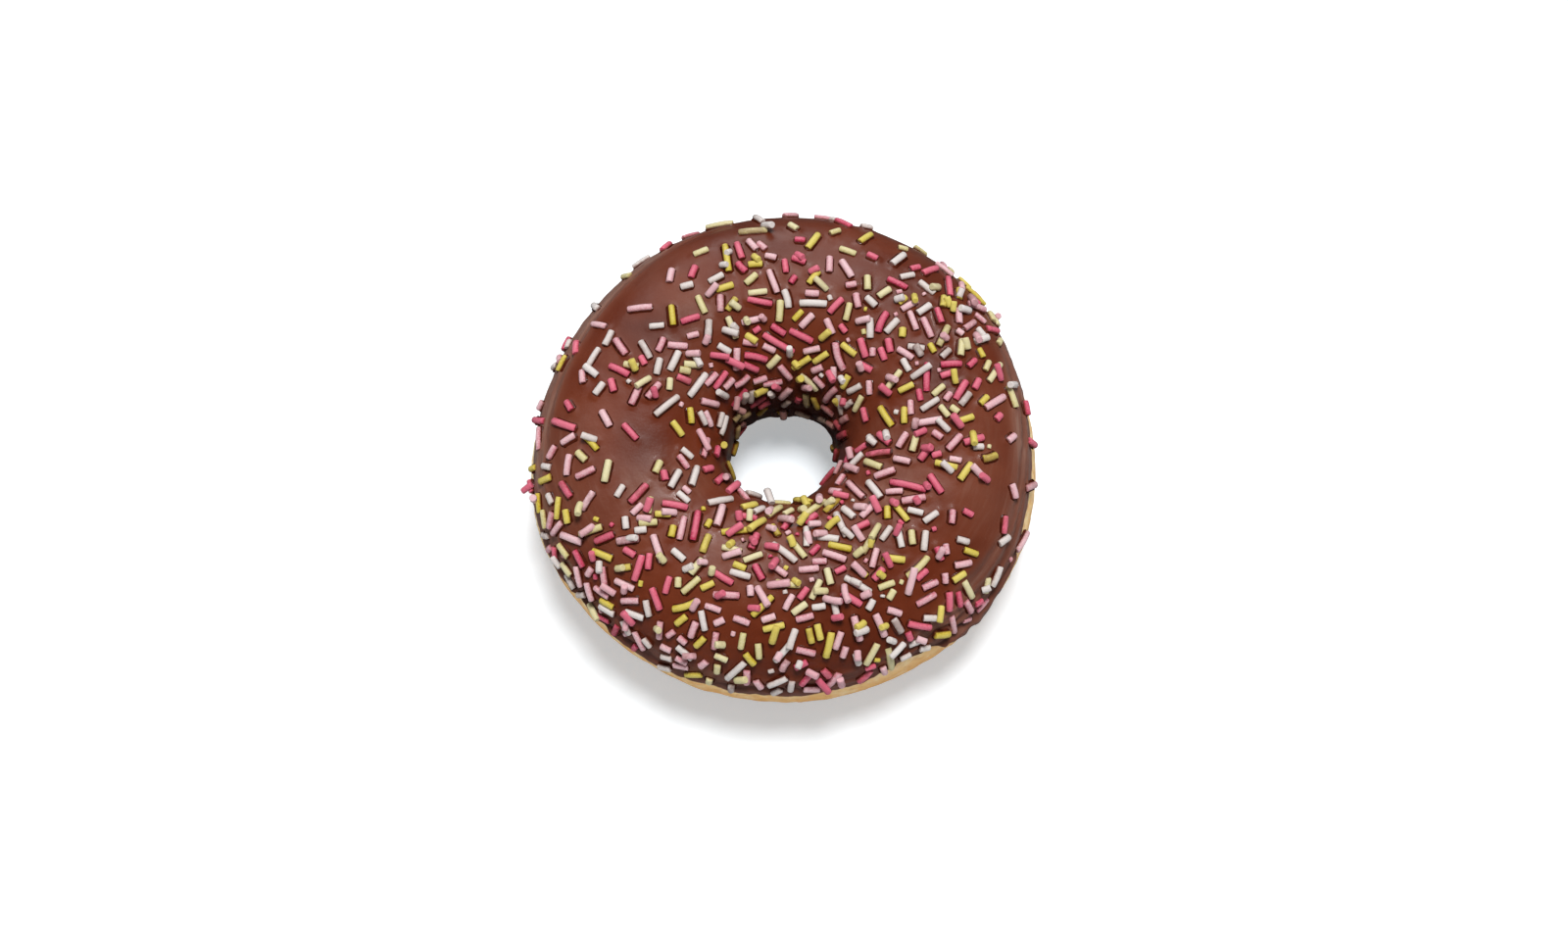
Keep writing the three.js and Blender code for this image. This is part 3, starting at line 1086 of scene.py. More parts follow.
@dataclass(frozen=True)
class Crease:
    """A furrow with a lip below it, painted darker as shade: its middle and reach in degrees, its depth and its
    half-width.
    """

    around: float
    over: float
    reach: float
    depth: float
    width: float  # in degrees "over"
    slant: float = 0.0
    lip_height: float = 0.8  # in depths
    lip_drop: float = 2.0  # how far below the furrow its lip is, in half-widths
    lip_width: float = 1.2
    darkness: float = 1.6  # painted shade for each millimetre of depth
    most_darkness: float = 0.9

    def at(self, around: np.ndarray, over: np.ndarray, wander: np.ndarray) -> np.ndarray:
        """Finds its height.

        Args:
            around: Angles about +Z.
            over: Angles about the core.
            wander: How far its path wanders there, in degrees.

        Returns:
            The height at each place in millimetres.
        """
        up, extent = self.off_path(around, over, wander)
        lip = self.lip_height * hump(up + self.lip_drop * self.width, self.lip_width * self.width)
        return self.depth * (lip - hump(up, self.width)) * extent

    def shade(self, around: np.ndarray, over: np.ndarray, wander: np.ndarray) -> np.ndarray:
        """Gives how much painted shade it puts on the icing, from 0 to about 1."""
        up, extent = self.off_path(around, over, wander)
        return hump(up, self.width) * extent * min(self.depth * self.darkness, self.most_darkness)

    def off_path(self, around: np.ndarray, over: np.ndarray, wander: np.ndarray) -> tuple[np.ndarray, np.ndarray]:
        """Gives how far above its path a place is in degrees, and how much of it is there."""
        away = turn_between(around, self.around)
        return np.degrees(over) - self.over - self.slant * away - wander, hump(away, self.reach)


@dataclass
class LaidStrand:
    """A strand as it shows: seated on the real surface, a little bent, with its colour and its own tint."""

    seat: np.ndarray
    axis: np.ndarray
    bow: np.ndarray
    normal: np.ndarray
    length: float
    girth: float  # its radius
    wetting: float  # how high the icing stands round it
    leaning: bool
    sugar: Sugar
    tint: float
    stain: float
    shade: float


@dataclass
class Icing:
    """The chocolate over the top half, down the outside and into the hole."""

    shape: RingShape
    dough: Dough
    finish: IcingFinish
    steps_around: int = 600
    outside_steps: int = 148
    step_growth: tuple[float, float] = (0.62, 0.38)  # the steps are closer together at the outer edge
    bead_steps: int = 5
    inside_steps: int = 8
    tuck: float = 0.15  # how far the icing's inner side lies inside the dough's skin
    edge_thickness: float = 0.45
    edge_taper: float = 3.5  # how far from its edge the icing has its full thickness
    hole_rim: float = 0.2  # how much thicker it is at its edge in the hole
    hole_rim_reach: float = 1.2
    swells: Layers = ((10.0, 6.3, 0.17), (4.2, 1.9, 0.07), (1.7, 4.4, 0.018))
    deep_swells: Layers = ((1.5, 2.9, 0.12), (3.3, 9.9, 0.32))
    tears: Layers = ((1.3, 8.8, 0.055), (2.6, 3.9, 0.07))  # the torn skin of the skirt
    tear_reach: float = 8.0  # how far below the skirt's upper end it is torn in full, in degrees "over"
    folds: Sequence[Fold] = (Fold(322, 27, 16, 7, 0.18, 8, 0.15), Fold(282, 25, 14, 5, 0.10, 11))
    creases: Sequence[Crease] = (
        Crease(317, 15, 16, 0.60, 1.9, 0.10),
        Crease(327, 28, 13, 0.45, 1.5, 0.22),
        Crease(306, 24, 9, 0.38, 1.6, -0.15),
        Crease(220, 17, 15, 0.60, 2.0, -0.08),
        Crease(228, 29, 10, 0.34, 1.5, 0.10),
        Crease(268, 15, 16, 0.34, 1.6, 0.05),
        Crease(154, 42, 30, 0.24, 1.5, 0.02),
        Crease(2, 38, 22, 0.30, 1.6, -0.05),
    )
    wanders: Layers = ((3.6, 5.2, 3.0), (1.4, 1.2, 1.0))  # how the creases wander, in degrees "over"
    # the most painted shade in the creases
    darkest_crease: float = 0.8
    skirt_top: float = 25.0  # the angle "over" up to which the icing ran down thin
    skirt_tops: Humps = ((18, 15, 318), (20, 34, 145), (7, 18, 182), (23, 22, 4), (4, 16, 222))  # how much more
    skirt_drift: Layers = ((3.0, 7.7, 1.5),)
    skirt_softness: float = 1.6
    ridges: Humps = ((0.16, 26, 150), (0.26, 15, 316), (0.32, 13, 222), (0.12, 20, 275))
    ridge_reach: float = 2.4  # in degrees "over"
    groove_drop: float = 2.2  # how far below the ridge its groove is, in its reaches
    groove_reach: float = 1.3
    lips: Humps = ((0.9, 8, 314), (0.55, 12, 221), (0.25, 10, 262))  # where the outer edge stands off the dough
    lip_drift: Layers = ((2.4, 6.6, 0.9),)
    lip_share: float = 0.75  # of its height that it has on average
    lip_reach: float = 1.5
    least_lip: float = 0.06
    overhang_start: float = 0.25  # how high a lip must be for a gap to open below it
    overhang_share: float = 0.9
    overhang_reach: float = 1.3
    wetting_start: float = 0.85  # how far from a strand's core its collar of icing starts, in radii
    wetting_reach: float = 0.30  # how far out it reaches
    wetting_margin: float = 2.0  # how far from a strand it is worked out
    streak: tuple[float, float] = (4.0, 0.35)  # the length and width of the icing's streaks
    patch_drift: Layers = ((3.0, 4.2, 1.6),)
    # painted sheen on the skirt: at most this much, and more on some sides
    most_painted_sheen: float = 1.5
    painted_sheen_sides: Humps = ((1.2, 28, 140), (0.75, 18, 186), (1.1, 22, 14), (0.6, 12, 318), (0.35, 30, 262))
    # patches painted paler as sheen
    painted_sheen_patches: Patches = (
        (-24, -11, 3.5, 0.70), (-17, -9, 3.0, 0.45), (18, -13, 4.5, 0.60), (19, -2, 3.5, 0.40),
        (-7, -23, 4.5, 0.65), (-15, 21, 3.5, 0.55), (-18, 9, 3.0, 0.45), (13, 13, 3.0, 0.45),
        (4, 26, 4.5, 0.30), (-40, -4, 5.0, 0.50), (-37, -14, 4.0, 0.45), (27, 38, 4.0, 0.45),
        (38, 22, 4.0, 0.30), (37, 4, 5.0, 0.22), (34, -7, 5.0, 0.25), (36, -15, 5.0, 0.40),
        (-30, -21, 4.5, 0.30), (-26, 32, 4.5, 0.25),
    )
    # patches painted darker as shade
    painted_shade_patches: Patches = (
        (15, 25, 4.5, 0.50), (23, 28, 4.0, 0.35), (29, 20, 4.0, 0.40), (-21, 17, 3.5, 0.50),
        (-24, -4, 3.5, 0.55), (-26, 18, 3.5, 0.45), (-1, 37, 5.0, 0.40), (-10, 39, 5.0, 0.30),
        (34, -24, 4.0, 0.45), (27, 9, 3.5, 0.75), (5, -29, 3.5, 0.85), (17, -21, 3.5, 0.35),
        (12, -37, 4.0, 0.35),
    )
    deep_start: float = 148.0  # the angle "over" past which the icing swells more and is painted darker, as shade, into the hole
    deep_reach: float = 36.0
    # how much sooner, on some sides, the painted shade starts into the hole
    deep_sides: Humps = ((9, 32, 55), (20, 20, 18), (18, 16, 138), (10, 16, 322))

    def relief(self, around: np.ndarray, over: np.ndarray) -> np.ndarray:
        """Finds how the surface swells and wrinkles.

        Args:
            around: Angles about +Z.
            over: Angles about the core.

        Returns:
            The height at each place in millimetres.
        """
        points = self.shape.point(around, over)
        above = np.degrees(over) - self.skirt_end(around) - layered(points, self.skirt_drift)
        groove = hump(above + self.groove_drop * self.ridge_reach, self.groove_reach * self.ridge_reach)
        ridge = hump(above, self.ridge_reach) - groove
        torn = layered(points, self.tears) * smooth(-above / self.tear_reach)
        deep = smooth((np.degrees(over) - self.deep_start) / self.deep_reach)
        swell = layered(points, self.swells) + layered(points, self.deep_swells) * deep
        wander = layered(points, self.wanders)
        wrinkles = sum(fold.at(around, over) for fold in self.folds)
        wrinkles = wrinkles + sum(crease.at(around, over, wander) for crease in self.creases)
        return swell + torn + ridge * humps_round(around, self.ridges) + wrinkles

    def crease_shade(self, around: np.ndarray, over: np.ndarray) -> np.ndarray:
        """Gives how much painted shade the creases get, from 0 to 1."""
        wander = layered(self.shape.point(around, over), self.wanders)
        return np.minimum(sum(crease.shade(around, over, wander) for crease in self.creases), self.darkest_crease)

    def skirt_end(self, around: np.ndarray) -> np.ndarray:
        """Gives the angle "over" of the skirt's upper end, in degrees."""
        return self.skirt_top + humps_round(around, self.skirt_tops)

    def lip(self, around: np.ndarray) -> np.ndarray:
        """Gives how far the outer edge stands off the dough."""
        uneven = self.lip_share + layered(self.shape.rim(around), self.lip_drift)
        return self.least_lip + humps_round(around, self.lips) * uneven

    def depth(self, around: np.ndarray, over: np.ndarray) -> np.ndarray:
        """Gives how deep in the hole a place is, from 0 to 1."""
        start = self.deep_start - humps_round(around, self.deep_sides)
        return smooth((np.degrees(over) - start) / self.deep_reach)

    def patched(self, points: np.ndarray, patches: Patches) -> np.ndarray:
        """Adds up soft, uneven patches.

        Args:
            points: Places on the icing.
            patches: The patches, seen from above.

        Returns:
            How strong they are at each place.
        """
        east, north = points[..., 0], points[..., 1]
        drift = layered(points, self.patch_drift)
        return sum(
            gain * hump(np.hypot(east - x + drift, north - y - drift), reach) for x, y, reach, gain in patches
        )

    def wetting(self, points: np.ndarray, strands: Sequence[LaidStrand]) -> np.ndarray:
        """Finds the low collar of icing round each strand.

        Args:
            points: The plain outside of the icing, as a grid.
            strands: The strands.

        Returns:
            Its height at each point in millimetres.
        """
        flat = points.reshape(-1, 3)
        raised = np.zeros(len(flat))
        for strand in strands:
            half = strand.length / 2
            near = np.flatnonzero(np.abs(flat - strand.seat).max(axis=1) < half + self.wetting_margin)
            away = flat[near] - strand.seat
            along = np.clip(away @ strand.axis, -half, half)
            distance = np.linalg.norm(away - along[:, None] * strand.axis, axis=1)
            outside = np.maximum(distance - strand.girth * self.wetting_start, 0)
            raised[near] = np.maximum(raised[near], strand.wetting * hump(outside, self.wetting_reach))
        return raised.reshape(points.shape[:2])

    def outside(
        self, around: np.ndarray, outer: np.ndarray, hole: np.ndarray, strands: Sequence[LaidStrand]
    ) -> tuple[np.ndarray, np.ndarray]:
        """Lays out the side that shows.

        Args:
            around: The sections' angles.
            outer: The angle "over" of the outer edge.
            hole: The angle "over" of the edge in the hole.
            strands: The strands, which have low collars.

        Returns:
            The angles over and the lifts, each as a grid.
        """
        first, more = self.step_growth
        share = np.linspace(0, 1, self.outside_steps)
        over = outer[:, None] + (hole - outer)[:, None] * (share * (first + more * share))
        turn = along_rows(around, over)
        width = self.shape.half_width(around)[:, None]
        from_outer, from_hole = (over - outer[:, None]) * width, (hole[:, None] - over) * width
        thin = self.dough.bulging(turn, over) + self.edge_thickness
        full = smooth(from_outer / self.edge_taper)
        lift = thin + (self.shape.icing_lift(turn, over) - thin) * full + self.relief(turn, over)
        lift = lift + self.lip(around)[:, None] * hump(from_outer, self.lip_reach)
        lift = lift + self.hole_rim * hump(from_hole, self.hole_rim_reach)
        plain = self.shape.point(turn, over, lift)
        return over, lift + self.wetting(plain, strands) * np.clip(from_outer, 0, 1)

    def inside(self, around: np.ndarray, outer: np.ndarray, hole: np.ndarray) -> tuple[np.ndarray, np.ndarray]:
        """Lays out the side that lies on the dough.

        Args:
            around: The sections' angles.
            outer: The angle "over" of the outer edge.
            hole: The angle "over" of the edge in the hole.

        Returns:
            The angles over and the lifts, each as a grid that runs back from the hole.
        """
        over = outer[:, None] + (hole - outer)[:, None] * np.linspace(1, 0, self.inside_steps)
        width = self.shape.half_width(around)[:, None]
        overhang = np.maximum(self.lip(around)[:, None] - self.overhang_start, 0) * self.overhang_share
        lift = overhang * hump((over - outer[:, None]) * width, self.overhang_reach) - self.tuck
        return over, lift + self.dough.bulging(along_rows(around, over), over)

    def bead(
        self, around: np.ndarray, edge: np.ndarray, outer: np.ndarray, inner: np.ndarray, way: int
    ) -> tuple[np.ndarray, np.ndarray]:
        """Rounds one edge of the icing.

        Args:
            around: The sections' angles.
            edge: The angle "over" of the edge.
            outer: How far the outside stands off the dough at the edge.
            inner: How far the inside does.
            way: 1 where "over" grows past the edge, and -1 where it falls.

        Returns:
            The angles over and the lifts of the bead, from the outside to the inside.
        """
        turn = (np.arange(1, self.bead_steps + 1) / (self.bead_steps + 1) * np.pi)[None, :]
        half = ((outer - inner) / 2)[:, None]
        reach = way * half * np.sin(turn) / self.shape.half_width(around)[:, None]
        return edge[:, None] + reach, (outer + inner)[:, None] / 2 + half * np.cos(turn)

    def marks(self, around: np.ndarray, over: np.ndarray, points: np.ndarray) -> dict[str, np.ndarray]:
        """Finds what the finish reads at each point.

        Args:
            around: The points' angles about +Z.
            over: Their angles about the core.
            points: The points.

        Returns:
            By name, where the skirt is, where painted sheen and where painted shade go, and the way that it flowed.
        """
        skirt = logistic((self.skirt_end(around) - np.degrees(over)) / self.skirt_softness)
        # painted sheen on the skirt and in patches
        dry = skirt * np.minimum(humps_round(around, self.painted_sheen_sides), self.most_painted_sheen)
        dry = dry + self.patched(points, self.painted_sheen_patches)
        # painted shade into the hole, in the creases and in patches
        deep = np.maximum(self.depth(around, over), self.crease_shade(around, over))
        deep = np.maximum(deep, self.patched(points, self.painted_shade_patches))
        flow = self.shape.flow(around, over, self.streak)
        return {"skirt": skirt.ravel(), "dry": dry.ravel(), "deep": deep.ravel(), "flow": flow}

    def build(self, strands: Sequence[LaidStrand]) -> bpy.types.Object:
        """Makes the piece, with collars round the strands.

        Args:
            strands: The strands.

        Returns:
            The piece.
        """
        around = all_round(self.steps_around)
        outer, hole = self.shape.ragged_edges(around)
        over, lift = self.outside(around, outer, hole, strands)
        inner_over, inner_lift = self.inside(around, outer, hole)
        hole_over, hole_lift = self.bead(around, hole, lift[:, -1], inner_lift[:, 0], 1)
        rim_over, rim_lift = self.bead(around, outer, lift[:, 0], inner_lift[:, -1], -1)
        overs = np.concatenate([over, hole_over, inner_over, rim_over[:, ::-1]], axis=1)
        lifts = np.concatenate([lift, hole_lift, inner_lift, rim_lift[:, ::-1]], axis=1)
        turns = along_rows(around, overs)
        points = self.shape.point(turns, overs, lifts)
        mesh = ring_mesh("chocolate_coat", points)
        store(mesh, self.marks(turns, overs, points))
        mesh.materials.append(self.finish.material())
        return new_piece("chocolate_coat", mesh)


@dataclass
class StrandDresser:
    """Gives each strand its colour and what makes it different from the next."""

    scatter: Scatter
    icing: Icing
    seed: int = 5
    rise: float = 0.13  # how much higher a round strand sits than a flat-sided one
    depth_range: float = 0.16
    bend: float = 0.03  # how far a strand may bend, in lengths
    curl: float = 5.0  # how many times more a curled one may
    curled: float = 0.07  # the share of curled ones
    sag_radius: float = 17.0  # how tightly the icing curves under a strand
    most_sag: float = 0.25
    thinnest: float = 0.95  # in diameters
    thicker: float = 0.18
    shorter: float = 0.94  # in lengths
    longer: float = 0.1
    least_wet: float = 0.04
    wetter: float = 0.20
    wet_lift: float = 0.3  # how much higher a strand sits where the icing stands high round it
    stain: float = 0.55
    stained: float = 0.10  # the share of stained ones
    crumb_girth: float = 0.7
    crumb_depth: float = 0.1
    steep: float = 0.05  # the slope from which a strand counts as leaning

    def laid(self) -> list[LaidStrand]:
        """Lays and dresses them.

        Returns:
            All the strands.
        """
        draw = Draws(self.seed)
        plain = self.scatter.strands()
        around, over = np.array([(strand.around, strand.over) for strand in plain]).T.copy()
        return [self.dress(strand, seat, draw) for strand, seat in zip(plain, self.icing.relief(around, over))]

    def dress(self, strand: Strand, seat: float, draw: Draws) -> LaidStrand:
        """Gives one strand its colour, bend, thickness and depth.

        Args:
            strand: The strand as it was laid.
            seat: How much higher the icing is there than its plain surface.
            draw: The draws.

        Returns:
            The strand as it shows.
        """
        sugar = self.pick(draw())
        side = np.cross(strand.normal, strand.axis)
        bent = (draw() - 0.5) * self.bend * strand.length * (self.curl if draw() < self.curled else 1.0)
        sag = min(strand.length**2 / 8 / self.sag_radius, self.most_sag)
        radius = self.scatter.diameter / 2 * (self.thinnest + self.thicker * draw())
        wet = self.least_wet + self.wetter * draw() ** 2
        depth = (draw() - 0.5) * self.depth_range
        stained = self.stain * draw() if draw() < self.stained else 0.0
        crumb = strand.length < self.scatter.shortest
        lift = seat + self.rise + depth + wet * self.wet_lift - self.crumb_depth * crumb
        return LaidStrand(
            seat=strand.centre + strand.normal * lift,
            axis=strand.axis,
            bow=side * bent + strand.normal * sag,
            normal=strand.normal,
            length=strand.length * (self.shorter + self.longer * draw()),
            girth=radius * self.crumb_girth if crumb else radius,
            wetting=wet,
            leaning=abs(strand.normal @ strand.axis) > self.steep,
            sugar=sugar,
            tint=draw(),
            stain=stained,
            shade=float(self.icing.depth(np.array(strand.around), np.array(strand.over))),
        )

    @staticmethod
    def pick(value: float) -> Sugar:
        """Picks a colour by its share.

        Args:
            value: A draw.

        Returns:
            The colour.
        """
        for sugar in Sugar:
            if value < sugar.share:
                return sugar
            value -= sugar.share
        return Sugar.WHITE


@dataclass
class StrandTree:
    """The Geometry Nodes tree that turns marked points into sugar strands."""

    name: str = "sugar_strands"
    places: Sequence[float] = (-0.5, -0.5, -0.22, 0.0, 0.22, 0.5, 0.5)  # of the rings, in lengths
    steps: Sequence[float] = (0.0, 1.0, 0.0, 0.0, 0.0, -1.0, 0.0)  # how far in from there, in chamfers
    arch: Sequence[float] = (-0.6, -0.5, 0.2, 0.4, 0.2, -0.5, -0.6)  # how far up, in bows
    sides: int = 9
    chamfer: float = 0.10 * MM  # how far from its end a strand starts to narrow
    end_share: float = 0.82  # its width at the very end
    thin_grain: float = 1.1 * MM  # how far it is from a thinner to a thicker place
    thinnest: float = 0.92  # in radii
    thicker: float = 0.16
    crumple: float = 0.035 * MM
    crumple_grain: float = 0.7 * MM
    flatness: float = 0.06
    seed: float = 3.0
    seed_step: float = 17.0  # how far the noise moves for each seed, in its unit
    leaning_rise: float = 9.0  # how much higher a leaning strand is marked, so that its sides get no painted shade and its top the full painted highlight
    form_marks: Sequence[str] = ("seat", "axis", "normal", "bow", "length", "girth", "leaning")
    look_marks: Sequence[str] = ("tint", "stain", "shade")  # what the finish reads
    measured: Sequence[str] = ("seat", "bow", "length", "girth")  # the marks in millimetres
    collar_drop: float = 0.36  # how far a collar's middle is below its strand's
    collar_flatness: float = 0.62
    collar_width: float = 0.18  # how far it stands out from its strand at least
    collar_wetting: float = 1.1  # how much more for the height of the icing round it
    collar_length: float = 1.6  # how much longer it is, for each millimetre that it stands out
    collar_chamfer: float = 0.45 * MM
    collar_end: float = 0.45
    collar_crumple: float = 0.06 * MM

    def tree(self) -> bpy.types.GeometryNodeTree:
        """Builds the tree, with its sizes as named inputs.

        Returns:
            The tree.
        """
        tree = bpy.data.node_groups.new(self.name, "GeometryNodeTree")
        graph = Graph(tree)
        sizes = ("Chamfer", "End Share", "Flatness", "Crumple", "Seed")
        kinds = {"Points": "Geometry", **dict.fromkeys(sizes, "Float"), "Sides": "Int", "Finish": "Material"}
        for name, kind in kinds.items():
            tree.interface.new_socket(name, in_out="INPUT", socket_type="NodeSocket" + kind)
        tree.interface.new_socket("Strands", in_out="OUTPUT", socket_type="NodeSocketGeometry")
        given = graph.node("NodeGroupInput")
        inputs = {socket.name: Link(graph, socket) for socket in given.outputs if socket.name}

        line = graph.link("GeometryNodeCurvePrimitiveLine", None, {"End": (0.0, 0.0, MM)})
        sockets = {"Curve": line, "Count": len(self.places)}
        line = graph.link("GeometryNodeResampleCurve", {"mode": "COUNT"}, sockets)
        lines = graph.link("GeometryNodeInstanceOnPoints", None, {"Points": inputs["Points"], "Instance": line})
        lines = graph.link("GeometryNodeRealizeInstances", None, {"Geometry": lines})
        lines = self.shaped(graph, lines, inputs)
        sockets = {"Resolution": inputs["Sides"], "Radius": 1.0}
        profile = graph.link("GeometryNodeCurvePrimitiveCircle", None, sockets)
        radius = self.radius(graph, inputs)
        sockets = {"Curve": lines, "Profile Curve": profile, "Scale": radius, "Fill Caps": True}
        rods = graph.link("GeometryNodeCurveToMesh", None, sockets)
        rods = self.flattened(graph, rods, inputs)
        rods = self.crumpled(graph, rods, inputs)
        rods = self.marked(graph, rods)
        rods = graph.link("GeometryNodeSetShadeSmooth", None, {"Geometry": rods, "Shade Smooth": True})
        rods = graph.link("GeometryNodeRealizeInstances", None, {"Geometry": rods})
        rods = graph.link("GeometryNodeSetMaterial", None, {"Geometry": rods, "Material": inputs["Finish"]})
        graph.node("NodeGroupOutput", None, {"Strands": rods})
        return tree

    @staticmethod
    def named(graph: Graph, name: str, kind: str = "FLOAT") -> Link:
        """Reads what is marked on a point."""
        return graph.link("GeometryNodeInputNamedAttribute", {"data_type": kind}, {"Name": name})

    @staticmethod
    def by_ring(graph: Graph, values: Sequence[Any]) -> Link:
        """Picks a value by the number of the ring along its strand."""
        sockets = dict(enumerate((graph.link("GeometryNodeSplineParameter", output="Index"), *values)))
        return graph.link("GeometryNodeIndexSwitch", {"data_type": "FLOAT", "items": len(values)}, sockets)

    def shaped(self, graph: Graph, lines: Link, inputs: Mapping[str, Link]) -> Link:
        """Lays each line along its strand's axis and bends it.

        Args:
            graph: The tree's graph.
            lines: One line for each strand.
            inputs: The tree's inputs, by name.

        Returns:
            The lines in place.
        """
        place = self.by_ring(graph, self.places) * self.named(graph, "length")
        place = place + self.by_ring(graph, self.steps) * inputs["Chamfer"]
        along = graph.vector("SCALE", self.named(graph, "axis", VECTOR), place)
        bend = graph.vector("SCALE", self.named(graph, "bow", VECTOR), self.by_ring(graph, self.arch))
        seat = graph.vector("ADD", self.named(graph, "seat", VECTOR), along)
        sockets = {"Geometry": lines, "Position": graph.vector("ADD", seat, bend)}
        return graph.link("GeometryNodeSetPosition", None, sockets)

    def radius(self, graph: Graph, inputs: Mapping[str, Link]) -> Link:
        """Finds the radius of each ring: narrower at the ends, and a little uneven.

        Args:
            graph: The tree's graph.
            inputs: The tree's inputs, by name.

        Returns:
            The radius.
        """
        end = inputs["End Share"]
        share = self.by_ring(graph, (end, *[1.0] * (len(self.places) - 2), end))
        uneven = graph.noise(self.shifted(graph, inputs, MM), self.thin_grain, 1.0) * self.thicker + self.thinnest
        return share * uneven * self.named(graph, "girth")

    def shifted(self, graph: Graph, inputs: Mapping[str, Link], size: float) -> Link:
        """Finds a point's place, moved by an offset that depends on the seed.

        Args:
            graph: The tree's graph.
            inputs: The tree's inputs, by name.
            size: The unit of the offset.

        Returns:
            The place at which to read noise.
        """
        step = inputs["Seed"] * size * self.seed_step
        offset = graph.link("ShaderNodeCombineXYZ", None, {0: step, 1: step, 2: step})
        return graph.vector("ADD", graph.link("GeometryNodeInputPosition"), offset)

    def above(self, graph: Graph) -> Link:
        """Gives how far a point is above the strand's middle, along the way out of the icing."""
        away = graph.vector("SUBTRACT", graph.link("GeometryNodeInputPosition"), self.named(graph, "seat", VECTOR))
        return graph.vector("DOT_PRODUCT", away, self.named(graph, "normal", VECTOR), output=1)

    def flattened(self, graph: Graph, rods: Link, inputs: Mapping[str, Link]) -> Link:
        """Presses the rods flat along the way out of the icing.

        Args:
            graph: The tree's graph.
            rods: The rods.
            inputs: The tree's inputs, by name.

        Returns:
            The pressed rods.
        """
        press = self.above(graph) * inputs["Flatness"] * -1.0
        offset = graph.vector("SCALE", self.named(graph, "normal", VECTOR), press)
        return graph.link("GeometryNodeSetPosition", None, {"Geometry": rods, "Offset": offset})

    def crumpled(self, graph: Graph, rods: Link, inputs: Mapping[str, Link]) -> Link:
        """Makes the sides and ends uneven.

        Args:
            graph: The tree's graph.
            rods: The rods.
            inputs: The tree's inputs, by name.

        Returns:
            The uneven rods.
        """
        colour = graph.noise(self.shifted(graph, inputs, 2 * MM), self.crumple_grain, 1.0, 1)
        offset = graph.vector("SCALE", graph.vector("SUBTRACT", colour, (0.5, 0.5, 0.5)), inputs["Crumple"] * 2.0)
        return graph.link("GeometryNodeSetPosition", None, {"Geometry": rods, "Offset": offset})

    def marked(self, graph: Graph, rods: Link) -> Link:
        """Marks how far above the strand's middle each point is, in millimetres, for the finish.

        Args:
            graph: The tree's graph.
            rods: The rods.

        Returns:
            The marked rods.
        """
        rise = self.above(graph) * (1 / MM) + self.named(graph, "leaning") * self.leaning_rise
        sockets = {"Geometry": rods, "Name": "rise", "Value": rise}
        return graph.link("GeometryNodeStoreNamedAttribute", {"data_type": "FLOAT", "domain": "POINT"}, sockets)

    def grow(self, name: str, marks: Mapping[str, np.ndarray], finish: Finish, **sizes: float) -> bpy.types.Object:
        """Makes one piece of rods.

        Args:
            name: The piece's name.
            marks: What is marked on each rod's point, by name: lengths are in millimetres.
            finish: Their finish.
            sizes: Inputs of the tree that differ from its own sizes.

        Returns:
            The piece, as a plain mesh.
        """
        points = bpy.data.meshes.new(name + "_marks")
        points.from_pydata((marks["seat"] * MM).tolist(), [], [])
        store(points, {mark: values * (MM if mark in self.measured else 1.0) for mark, values in marks.items()})
        piece = new_piece(name, points)
        modifier = piece.modifiers.new("strands", "NODES")
        modifier.node_group = bpy.data.node_groups.get(self.name) or self.tree()
        values = {
            "Chamfer": self.chamfer,
            "End Share": self.end_share,
            "Sides": self.sides,
            "Flatness": self.flatness,
            "Crumple": self.crumple,
            "Seed": self.seed,
            "Finish": finish.material(),
            **sizes,
        }
        for socket in modifier.node_group.interface.items_tree:
            if socket.name in values:
                modifier[socket.identifier] = values[socket.name]
        graph = bpy.context.evaluated_depsgraph_get()
        mesh = bpy.data.meshes.new_from_object(piece.evaluated_get(graph), depsgraph=graph)
        piece.modifiers.clear()
        piece.data = mesh
        mesh.name = name
        for mark in self.form_marks:
            if mark in mesh.attributes:
                mesh.attributes.remove(mesh.attributes[mark])
        return piece

    @staticmethod
    def marks_of(strands: Sequence[LaidStrand], marks: Sequence[str]) -> dict[str, np.ndarray]:
        """Gives what is marked on each strand's point, by name."""
        return {mark: np.array([getattr(strand, mark) for strand in strands], float) for mark in marks}

    def strands(self, name: str, strands: Sequence[LaidStrand], finish: Finish) -> bpy.types.Object:
        """Makes one piece of strands."""
        return self.grow(name, self.marks_of(strands, (*self.form_marks, *self.look_marks)), finish)

    def collars(self, name: str, strands: Sequence[LaidStrand], finish: Finish) -> bpy.types.Object:
        """Makes one piece of the low chocolate collars round strands that lie in the icing.

        Args:
            name: The piece's name.
            strands: All the strands.
            finish: The collars' finish.

        Returns:
            The piece.
        """
        lying = [strand for strand in strands if not strand.leaning]
        marks = self.marks_of(lying, self.form_marks)
        wider = self.collar_width + self.collar_wetting * np.array([strand.wetting for strand in lying])
        marks["seat"] = marks["seat"] - marks["normal"] * self.collar_drop
        marks["length"] = marks["length"] + wider * self.collar_length
        marks["girth"] = marks["girth"] + wider
        sizes = {
            "Chamfer": self.collar_chamfer,
            "End Share": self.collar_end,
            "Flatness": self.collar_flatness,
            "Crumple": self.collar_crumple,
        }
        return self.grow(name, marks, finish, **sizes)


# ---- Studio ----


